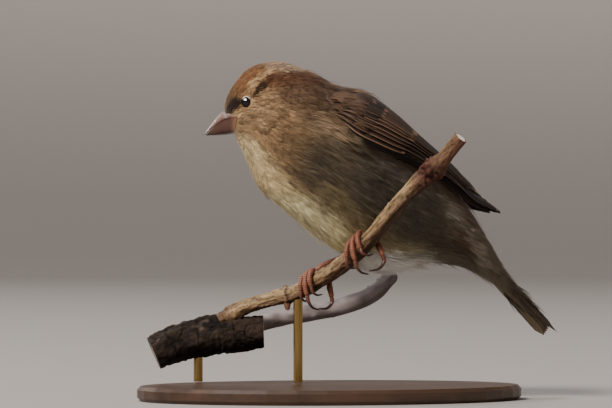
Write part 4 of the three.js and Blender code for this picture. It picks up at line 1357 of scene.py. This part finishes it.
# %% The tail feathers
TAIL_ROOT, TAIL_TIP, TAIL_ROLL = [62.4, 38.2], [77.8, 22.8], math.radians(11)
TAIL_SUNK = 0.5  # how far under the coverts the blades start, as a share of the tail's shown length
TAIL_PAIRS, TAIL_NOTCH = 6, 1.6 / 22  # the middle pair ends short by this share of the shown length
TAIL_WIDTHS = [2.9] * 5 + [2.5]  # half width of each pair's blades, from the middle out
TAIL_TINTS = ink(46, 38, 33), ink(132, 116, 92)  # above, below
TAIL_RIMS = ink(92, 74, 58), ink(140, 122, 98)

root, tip = (np.array([p[0], 0.0, p[1]]) for p in (TAIL_ROOT, TAIL_TIP))
down = unit(tip - root)
above = np.array([-down[2], 0.0, down[0]])
beside = np.array([0.0, 1.0, 0.0]) - above * math.sin(TAIL_ROLL)
tail_blades = {side_name: [] for side_name in SIDES}
v = np.linspace(0, 1, BLADE_ROWS)
below = np.append(np.tile(RIM_BELOW, BLADE_ROWS), [0, 0])[:, None]
tint, rim = (top + (under - top) * below for top, under in (TAIL_TINTS, TAIL_RIMS))
for pair, half_width in enumerate(TAIL_WIDTHS):
    for side_name, side in SIDES.items():
        along = -TAIL_SUNK + v * (1 + TAIL_SUNK - TAIL_NOTCH * (1 - pair / (TAIL_PAIRS - 1)))
        reach = 0.6 + 0.4 * np.clip(along, -1, 1)
        off = side * (0.5 + pair * 1.02) * reach
        layer = 1.6 - 0.42 * pair + 0.05 * side - 0.4 * v
        line = root + (tip - root) * along[:, None] + beside * off[:, None] + above * layer[:, None]
        out = unit(above[None] + beside[None] * side * 0.08 * pair + 0 * line)
        p, f, own = blade(line, out, half_width, 0.35, 0.12, 0.88)
        tail_blades[side_name].append((p, f, own, tint * chance.normal(1, 0.06), rim))
for side_name, blades in tail_blades.items():
    piece = vaned_piece(f"tail_{side_name}_feathers", blades, flight_vane)
    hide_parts(f"tail_{side_name}")
    print(piece.name, "triangles:", len(piece.data.polygons))

# %% [markdown]
# Feet and perch keep the places and outlines of their solids, and take the colour that each piece
# carries at its points. The base, the rods and the eyes wander between two colours instead.

# %% Finishes of the feet, the perch and the stand
def simple_finish(name, roughness, colours, scale, stretch=(1, 1, 1), strength=0.0, **sockets):
    """A finish that wanders between two colours, with a grain that may be stretched."""
    made, tree, shader = new_finish(name, roughness, **sockets)
    stretched = node(tree, "ShaderNodeMapping", [("Vector", object_place(tree)), ("Scale", stretch)])
    settings = [("Vector", stretched.outputs[0]), ("Scale", scale), ("Detail", 6.0), ("Roughness", 0.6)]
    grain = node(tree, "ShaderNodeTexNoise", settings).outputs["Fac"]
    ramp = node(tree, "ShaderNodeValToRGB", [("Fac", grain)])
    for stop, place, colour in zip(ramp.color_ramp.elements, (0.35, 0.65), colours):
        stop.position, stop.color = place, rgba(ink(*colour))
    tree.links.new(ramp.outputs["Color"], shader.inputs["Base Color"])
    bumped(tree, shader, grain, strength, 0.0002)
    return made


leg_skin = tinted_finish("leg_skin", 0.5, 2500, 0.4, 0.4, Specular_IOR_Level=0.4)
claw_horn = tinted_finish("claw_horn", 0.3, 1800, 0.3, 0.1)
twig_bark = tinted_finish("twig_bark", 0.75, 1400, 0.5, 0.5, Specular_IOR_Level=0.25)
branch_bark = tinted_finish("branch_bark", 0.9, 900, 0.7, 0.8, Specular_IOR_Level=0.15)
fork_bark = tinted_finish("fork_bark", 0.85, 700, 0.35, 0.3, Specular_IOR_Level=0.2)
base_wood = simple_finish("base_wood", 0.4, [(52, 36, 27), (82, 58, 42)], 60, (0.25, 2.5, 2.5), 0.15)
rod_brass = simple_finish("rod_brass", 0.3, [(150, 122, 70), (176, 148, 92)], 400, (3, 3, 0.2), 0.1,
                          Metallic=1.0)
eye_gloss = simple_finish("eye_gloss", 0.04, [(8, 6, 5), (16, 10, 8)], 300)
print("finishes made so far:", len(bpy.data.materials))

# %% [markdown]
# The perch is three sticks. Each is a tube of rings round its middle line, and each ring's points
# are raised and sunk by the bark: long ridges, pits, the wrinkled knot. A cut end shows pale wood
# inside a ring of bark. The colour is worked out point by point in the same way, with painted shade on
# the sticks' undersides and in the bark's cracks, and painted light on the twig's upper side and ridges.

# %% The perch
BRANCH_POINTS = [[-17.4, 27.2, 22.0, 5.6], [-26.4, 29.1, 21.7, 6.1], [-35.7, 31.1, 21.2, 6.9],
                 [-45.1, 32.6, 19.3, 6.7], [-54.6, 33.6, 15.0, 6.3]]
FORK_POINTS = [[-25.5, 32.0, 23.0, 2.8], [-13.2, 35.5, 26.3, 2.9], [-2.7, 36.3, 28.1, 3.0],
               [11.9, 36.3, 30.7, 3.0], [23.2, 36.0, 35.3, 2.9], [31.0, 35.8, 42.4, 2.4]]
BUDS = [(0.745, -20, 1.4, 1.2), (0.74, 165, 2.4, 1.5)]  # share of the twig, degrees, height, radius
CUT_RINGS = (0.9, 0.72, 0.45, 0.2)  # shares of the radius on a cut face
BUD_RINGS, BUD_AROUND = 14, 12


def round_frame(line, share):
    """The middle of a line with its upward and near sides, as the rings of the solids have them."""
    share = np.atleast_1d(np.asarray(share, float))
    along = unit(line(share + 1e-3) - line(share - 1e-3))
    along = along * np.where(along[:, :1] < 0, -1, 1)
    up = unit(np.array([0, 0, 1.0]) - along * along[:, 2:3])
    return line(share), up, np.cross(along, up)


def stick(name, line, radius, relief, colours, rows, around, finish, extra=()):
    """A tube with bark. Radius, relief and colours are functions of the shares and angles."""
    share = np.linspace(0, 1, rows)
    t, a = ring_grid(share, around)
    middle, up, near = round_frame(line, share)
    bark = relief(t, a)
    spoke = up[:, None] * np.cos(a)[..., None] + near[:, None] * np.sin(a)[..., None]
    rings = middle[:, None] + spoke * (radius(t, a) + bark)[..., None]
    face = np.array(CUT_RINGS)[:, None, None]
    first = middle[0] + (rings[0] - middle[0])[None] * face
    last = middle[-1] + (rings[-1] - middle[-1])[None] * face[::-1]  # outwards, so it folds over itself
    grain = 0.9 + 0.2 * patchwork(a[0] * 3, face[:, 0] * 9, 19, 8)
    wood = (np.where(face > 0.8, CUT_RIM, CUT_WOOD) * grain[..., None])[::-1].reshape(-1, 3)
    rows_of_points = [part.reshape(-1, 3) for part in (first[::-1], rings, last)]
    points = np.vstack([*rows_of_points, middle[0], middle[-1]])
    tints = np.vstack([wood, colours(t, a, bark).reshape(-1, 3), wood, np.tile(CUT_WOOD * 0.6, (2, 1))])
    parts = [(points, tube_faces(rows + 2 * len(CUT_RINGS), around))]
    for more, its_tints in extra:
        parts.append((more, tube_faces(BUD_RINGS, BUD_AROUND)))
        tints = np.vstack([tints, its_tints])
    piece = closed_piece(name + "_fine", parts)
    paint(piece, "Tint", np.clip(tints, 0, 1))
    shade_soft(piece, 40)
    piece.data.materials.append(finish)
    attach(piece, "root")
    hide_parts(name)
    print(piece.name, "faces:", len(piece.data.polygons))


def blend(first, second, share):
    return first + (second - first) * share[..., None]


def spots(t, a, length, girth, number, low, high, seed):
    """1 in the middle of small round spots scattered over a stick, 0 away from them."""
    draw, found = np.random.default_rng(seed), np.zeros(t.shape)
    for _ in range(number):
        at, turn, size = draw.uniform(0.02, 0.98), draw.uniform(0, 2 * np.pi), draw.uniform(low, high)
        off = np.hypot((t - at) * length, ((a - turn + np.pi) % (2 * np.pi) - np.pi) * girth)
        found = np.maximum(found, 1 - step_up(off, size * 0.4, size))
    return found


def cells(t, a, around, along, seed):
    """Random patches on a stick, so many round it and so many along it."""
    return patchwork(a / (2 * np.pi) * around, t * along, around, seed)


def waved(size, waves):
    """The radius of a stick that isn't quite round: waves are (height, times round, turn along it)."""
    return lambda t, a: size(t.ravel()).reshape(t.shape) * sum(
        (height * np.sin(times * a + turn * t) for height, times, turn in waves), 1)


# of these, the second is painted light on the twig's upper side, and the third is both painted shade on its
# underside and the dark mottling of its bark
TAN, LIT, DARK_BARK_AND_SHADE, KNOT = ink(128, 102, 76), ink(164, 138, 102), ink(58, 39, 29), ink(66, 34, 25)
FOOT_END, CUT_END, PIT = ink(62, 42, 32), ink(92, 60, 44), ink(34, 22, 16)
CUT_WOOD, CUT_RIM, BUD_BARK = ink(222, 214, 202), ink(104, 58, 42), ink(108, 72, 50)
# the first colour is the dark of the bark's cracks, deepened as painted shade
BRANCH_CRACKS_AND_SHADE, BRANCH_RAISED, BRANCH_FLAKE = ink(20, 16, 14), ink(62, 50, 43), ink(104, 88, 79)
# painted shade on the undersides of the branch and the fork
BRANCH_UNDER_SHADE, FORK_UNDER_SHADE = ink(16, 13, 11), ink(78, 68, 72)
FORK_DARK, FORK_LIT = ink(106, 95, 97), ink(162, 151, 151)
TWIG_LENGTH, FORK_LENGTH = 118.0, 62.0
BRANCH_BARK = [(0.7, 7, 5), (0.6, 16, 11), (0.5, 34, 26), (0.35, 70, 52)]  # mm deep, cells round, along


def knotted(t):
    return hump(t, 0.145, 0.034)


def twig_relief(t, a):
    ridges = cells(t, a, 22, 26, 11) + 0.6 * cells(t, a, 44, 70, 12)
    folds = patchwork(a / (2 * np.pi) * 7, t * 90 + 1.5 * np.sin(a), 7, 13)
    wrinkle = 2.6 * np.abs(folds - 0.5) + 1.2 * cells(t, a, 18, 200, 18) - 1.1
    rings = hump(t, 0.735, 0.004) + hump(t, 0.42, 0.003) * 0.5
    burr = step_up(t, 0.88, 0.97) * (cells(t, a, 9, 60, 19) - 0.4)
    return (0.44 * (ridges - 0.8) + 0.8 * knotted(t) * wrinkle + 0.2 * rings + 1.4 * burr
            + 0.18 * spots(t, a, TWIG_LENGTH, 2.6, 46, 0.3, 0.6, 14))


def twig_colours(t, a, relief):
    # painted light on the upper side, in patches, and painted shade on the underside; the same dark colour
    # also gives the bark its dark mottling
    lit = step_up(np.cos(a - 0.9), 0.2, 0.95) * (0.4 + 0.6 * patchwork(a * 2.5, t * 40, 16, 15))
    under = step_up(-np.cos(a) + 0.5 * (patchwork(a * 2.5, t * 60, 16, 27) - 0.5), 0.5, 0.9)
    tint = TAN
    for colour, share in (
        (LIT, lit),
        (DARK_BARK_AND_SHADE, under * 0.85),
        (DARK_BARK_AND_SHADE, step_up(cells(t, a, 30, 44, 16), 0.5, 0.8) * 0.5),
        (DARK_BARK_AND_SHADE, step_up(cells(t, a, 40, 160, 20), 0.55, 0.85) * 0.55),
        (FOOT_END, step_up(t + 0.02 * np.sin(3 * a), 0.9, 0.97) * 0.8),
        (CUT_END, (1 - step_up(t, 0.1, 0.22)) * 0.7),
        (KNOT, knotted(t)),
    ):
        tint = blend(tint, colour, share)
    # raised bark lighter and sunk bark darker: partly the bark's own colour, partly painted light on the
    # ridges and painted shade in the cracks
    tint = tint * (1 + 1.5 * np.clip(relief, -0.4, 0.25))[..., None]
    dark = spots(t, a, TWIG_LENGTH, 2.6, 34, 0.35, 0.75, 17) * 0.85 + 0.7 * hump(t, 0.728, 0.004)
    return blend(tint, PIT, np.clip(dark, 0, 1))


def out_of_twig(share, degrees):
    """The twig's middle at a share of its length, and the way straight out of it at an angle."""
    middle, up, near = (v[0] for v in round_frame(twig_line, share))
    return middle, up * math.cos(math.radians(degrees)) + near * math.sin(math.radians(degrees))


def bud(share, degrees, height, radius):
    """A short side stub on the twig, with its points and colours."""
    root, way = out_of_twig(share, degrees)
    tip = root + way * (twig_radius(share)[0] * 1.04 + height)

    def narrowing(t):
        return radius * (1 - 0.35 * t) * np.sqrt(np.clip(1.02 - t**6, 0.02, 1))

    points = limb_points(root, tip, narrowing, BUD_RINGS, BUD_AROUND)
    tint = np.tile(BUD_BARK, (len(points), 1)) * np.linspace(0.8, 1.2, len(points))[:, None]
    tint[-(BUD_AROUND + 2):] = CUT_WOOD * 0.55  # the last ring and the two end points
    return points, tint


def branch_relief(t, a):
    rough = sum(deep * (cells(t, a, n, along, 21 + n) - 0.6) for deep, n, along in BRANCH_BARK)
    return rough - 0.35 * hump(cells(t, a, 9, 9, 22), 0.5, 0.05)


def branch_colours(t, a, relief):
    # darker where the bark is sunk, partly the cracks' own dark and partly painted shade; then pale flakes,
    # and painted shade on the underside
    tint = blend(BRANCH_CRACKS_AND_SHADE, BRANCH_RAISED, step_up(relief, -0.9, 0.4))
    tint = blend(tint, BRANCH_FLAKE, step_up(cells(t, a, 22, 16, 24), 0.75, 0.95) * 0.4)
    return blend(tint, BRANCH_UNDER_SHADE, step_up(-np.cos(a), -0.3, 0.7) * 0.85)


def fork_radius(t, a):
    return fork_size(t.ravel()).reshape(t.shape) * np.sqrt(
        np.clip(1 - ((t - 0.955).clip(0) / 0.05) ** 2, 0.05, 1))


def fork_relief(t, a):
    return 0.4 * (cells(t, a, 6, 12, 31) - 0.6) + 0.35 * spots(t, a, FORK_LENGTH, 3.0, 9, 0.8, 1.4, 32)


def fork_colours(t, a, relief):
    tint = blend(FORK_DARK, FORK_LIT, cells(t, a, 12, 18, 33))
    # painted shade on the underside
    return blend(tint, FORK_UNDER_SHADE, step_up(-np.cos(a), 0.2, 1) * 0.6)


branch_line, fork_line = (smooth_line([p[:3] for p in points]) for points in (BRANCH_POINTS, FORK_POINTS))
branch_size, fork_size = (number_line([p[3] for p in points]) for points in (BRANCH_POINTS, FORK_POINTS))
stick("perch_twig", twig_line, waved(twig_radius, [(0.03, 3, 9), (0.02, 5, -14)]),
      twig_relief, twig_colours, 420, 72, twig_bark, [bud(*b) for b in BUDS])
stick("perch_branch", branch_line, waved(branch_size, [(0.05, 2, 5), (0.04, 5, -11)]),
      branch_relief, branch_colours, 150, 110, branch_bark)
stick("perch_fork", fork_line, fork_radius, fork_relief, fork_colours, 150, 48, fork_bark)

# %% [markdown]
# Each digit is drawn over its solid: the same stations round the twig, a toe with scutes on top,
# soft knuckles below, and a curved claw that carries on from its end.

# %% Feet
TOE_RADIUS, FOOT_GAP, TARSUS_RADIUS = 0.85, 0.3, 1.0
FEET = {"left": (7.9, [17.5, -10.5, 62.5]), "right": (-3.4, [10.6, 8.6, 49.9])}
DIGITS = [  # names on the left and the right foot, size, stations of toe and claw: degrees, mm along, mm off
    ("hind", "hind", 1.05, [[-64, 0.8, 0], [-100, 2.2, 0.1], [-134, 2.9, 0.5], [-152, 2.3, 3.4]],
     [[-158, 1.8, 4.8], [-172, 0.8, 5.8], [-190, -0.3, 5.6]]),
    ("inner", "outer", 0.92, [[20, -1.3, 0], [50, -2.2, 0.1], [84, -3.2, 0.1], [112, -4.1, 0.3]],
     [[128, -4.6, 1.4], [146, -4.7, 1.8], [168, -4.4, 1.3]]),
    ("middle", "middle", 1.0, [[14, 0.9, 0], [50, 0.6, 0.1], [96, -0.4, 0.2], [138, -1.5, 1.9]],
     [[150, -1.9, 3.4], [164, -2.1, 4.7], [181, -2.0, 5.3]]),
    ("outer", "inner", 0.9, [[20, 3.1, 0], [52, 2.9, 0.1], [90, 2.2, 0.1], [122, 1.6, 0.3]],
     [[138, 1.5, 1.4], [156, 1.8, 1.8], [178, 2.2, 1.3]]),
]
# the third colour is the dark of the creases between scutes, deepened as painted shade, and also painted
# shade on the back of each limb
SKIN_TINT, SCUTE_TINT, CREASE_DARK_AND_SHADE = ink(124, 70, 52), ink(152, 98, 76), ink(52, 27, 20)
CLAW_ROOT, CLAW_TIP = ink(96, 54, 42), ink(40, 26, 22)


def beside_twig(grip, degrees, shift, off):
    """A point beside the twig, as the solids have it."""
    share = min(max(grip - shift / TWIG_REACH, 0), 1)
    middle, way = out_of_twig(share, degrees)
    return middle + way * (twig_radius(share)[0] * 1.04 + off)


def rounded(t, share):
    return np.sqrt(np.clip(1 - (np.maximum(share - t, 0) / share) ** 2, 0.04, 1))


def scaled_limb(node_name, stations, radius, rows, around, tints, finish, top):
    """A limb along stations. Radius and tints are functions of share, mm along and how far up it faces."""
    middle = smooth_line(stations)(np.linspace(0, 1, rows))
    along = unit(np.gradient(middle, axis=0))
    out = unit(middle - top(middle))
    out = unit(out - along * (out * along).sum(axis=1)[:, None])
    side = np.cross(along, out)
    t, a = ring_grid(np.linspace(0, 1, rows), around)
    steps = np.linalg.norm(np.diff(middle, axis=0), axis=1)
    far = np.concatenate([[0], np.cumsum(steps)])[:, None] + 0 * t
    facing = np.cos(a)
    spoke = out[:, None] * facing[..., None] + side[:, None] * np.sin(a)[..., None]
    places = middle[:, None] + spoke * radius(t, far, facing)[..., None]
    points = np.vstack([places.reshape(-1, 3), middle[0], middle[-1]])
    colour = tints(t, far, facing).reshape(-1, 3)
    piece = closed_piece(node_name + "_fine", [(points, tube_faces(rows, around))])
    paint(piece, "Tint", np.clip(np.vstack([colour, colour[0], colour[-1]]), 0, 1))
    shade_soft(piece)
    piece.data.materials.append(finish)
    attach(piece, "root")
    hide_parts(node_name)


def scutes(far, pitch):
    """Overlapping scales: each rises slowly and drops off at its end."""
    saw = (far / pitch) % 1
    return saw * (1 - step_up(saw, 0.86, 1.0))


def skin_tints(t, far, facing):
    plate = scutes(far, SCUTE_PITCH)
    tint = blend(SKIN_TINT, SCUTE_TINT, step_up(facing, 0.1, 0.7) * plate)
    crease = step_up(facing, -0.2, 0.4) * (1 - step_up(plate, 0.0, 0.28))
    # the crease colour darkens the creases between scutes, partly as painted shade, and lies as painted shade
    # on the back of the limb: towards the twig on a toe, the rear of a tarsus
    return blend(blend(tint, CREASE_DARK_AND_SHADE, crease * 0.8), CREASE_DARK_AND_SHADE, 0.5 * step_up(-facing, 0.3, 1.0))


def claw_tints(t, far, facing):
    # painted light on the side away from the twig and painted shade on the side towards it
    painted_light_and_shade = 0.85 + 0.3 * step_up(facing, -0.5, 1)
    return blend(CLAW_ROOT, CLAW_TIP, step_up(t, 0.15, 0.75)) * painted_light_and_shade[..., None]


def twig_middle(points):
    gaps = np.linalg.norm(points[:, None] - twig_at[None], axis=2)
    return twig_at[gaps.argmin(axis=1)]


def tarsus_radius(t, far, facing):
    plates = 1 + 0.07 * scutes(far, TARSUS_PITCH) * step_up(facing, 0, 0.5)
    return TARSUS_RADIUS * 1.08 * (1 + 0.15 * t**4) * rounded(1 - t, 0.15) * plates


def behind(points):
    return points + np.array([1.0, 0, 0])


SCUTE_PITCH, TARSUS_PITCH, TOE_FLESH = 0.72, 1.3, 1.2
GRIP_SHARES = np.linspace(0, 1, 4000)
TWIG_REACH = float(np.linalg.norm(np.diff(twig_line(np.linspace(0, 1, 400)), axis=0), axis=1).sum())
print("twig length in mm:", round(TWIG_REACH, 2))
for side_name, (grip_x, ankle) in FEET.items():
    grip = float(GRIP_SHARES[np.abs(twig_line(GRIP_SHARES)[:, 0] - grip_x).argmin()])
    for left_name, right_name, size, toe, claw in DIGITS:
        digit = left_name if side_name == "left" else right_name
        seat = TOE_RADIUS * size + FOOT_GAP
        toe_at = [beside_twig(grip, d, shift, seat + off + 0.1) for d, shift, off in toe]
        claw_at = [beside_twig(grip, d, shift, seat + off) for d, shift, off in [toe[-1], *claw]]

        def toe_radius(t, far, facing, size=size):
            knuckles = 1 + 0.1 * np.cos(t * np.pi * 6) * (0.4 + 0.6 * (facing < 0))
            plates = 1 + 0.09 * scutes(far, SCUTE_PITCH) * step_up(facing, -0.1, 0.5)
            return TOE_RADIUS * TOE_FLESH * size * knuckles * plates * rounded(t, 0.12) * rounded(
                1 - t, 0.14) * (1 - 0.12 * t)

        def claw_radius(t, far, facing, size=size):
            return (0.76 - 0.56 * t**1.2) * size * (1 + 0.12 * facing)

        scaled_limb(f"toe_{side_name}_{digit}", toe_at, toe_radius, 120, 20, skin_tints, leg_skin,
                    twig_middle)
        scaled_limb(f"claw_{side_name}_{digit}", claw_at, claw_radius, 36, 12, claw_tints, claw_horn,
                    twig_middle)
    seat, ankle = TARSUS_RADIUS + FOOT_GAP, np.array(ankle)
    pad, over = beside_twig(grip, -24, 1.0, seat), beside_twig(grip, -28, 2.2, seat + 1.2)
    scaled_limb(f"tarsus_{side_name}", [ankle, (ankle + over) / 2, over, pad], tarsus_radius, 120, 20,
                skin_tints, leg_skin, behind)

# %% [markdown]
# The eyes and the stand keep the shapes of their solids and get finishes of their own.

# %% Finishes of the eyes and the stand
for finish, names in ((base_wood, ("stand_base",)), (rod_brass, ("stand_rod_twig", "stand_rod_branch")),
                      (eye_gloss, ("eye_left", "eye_right"))):
    for node_name in names:
        for place in bpy.data.objects[node_name].material_slots:
            place.material = finish
print("finishes on solids: eyes, base and rods")
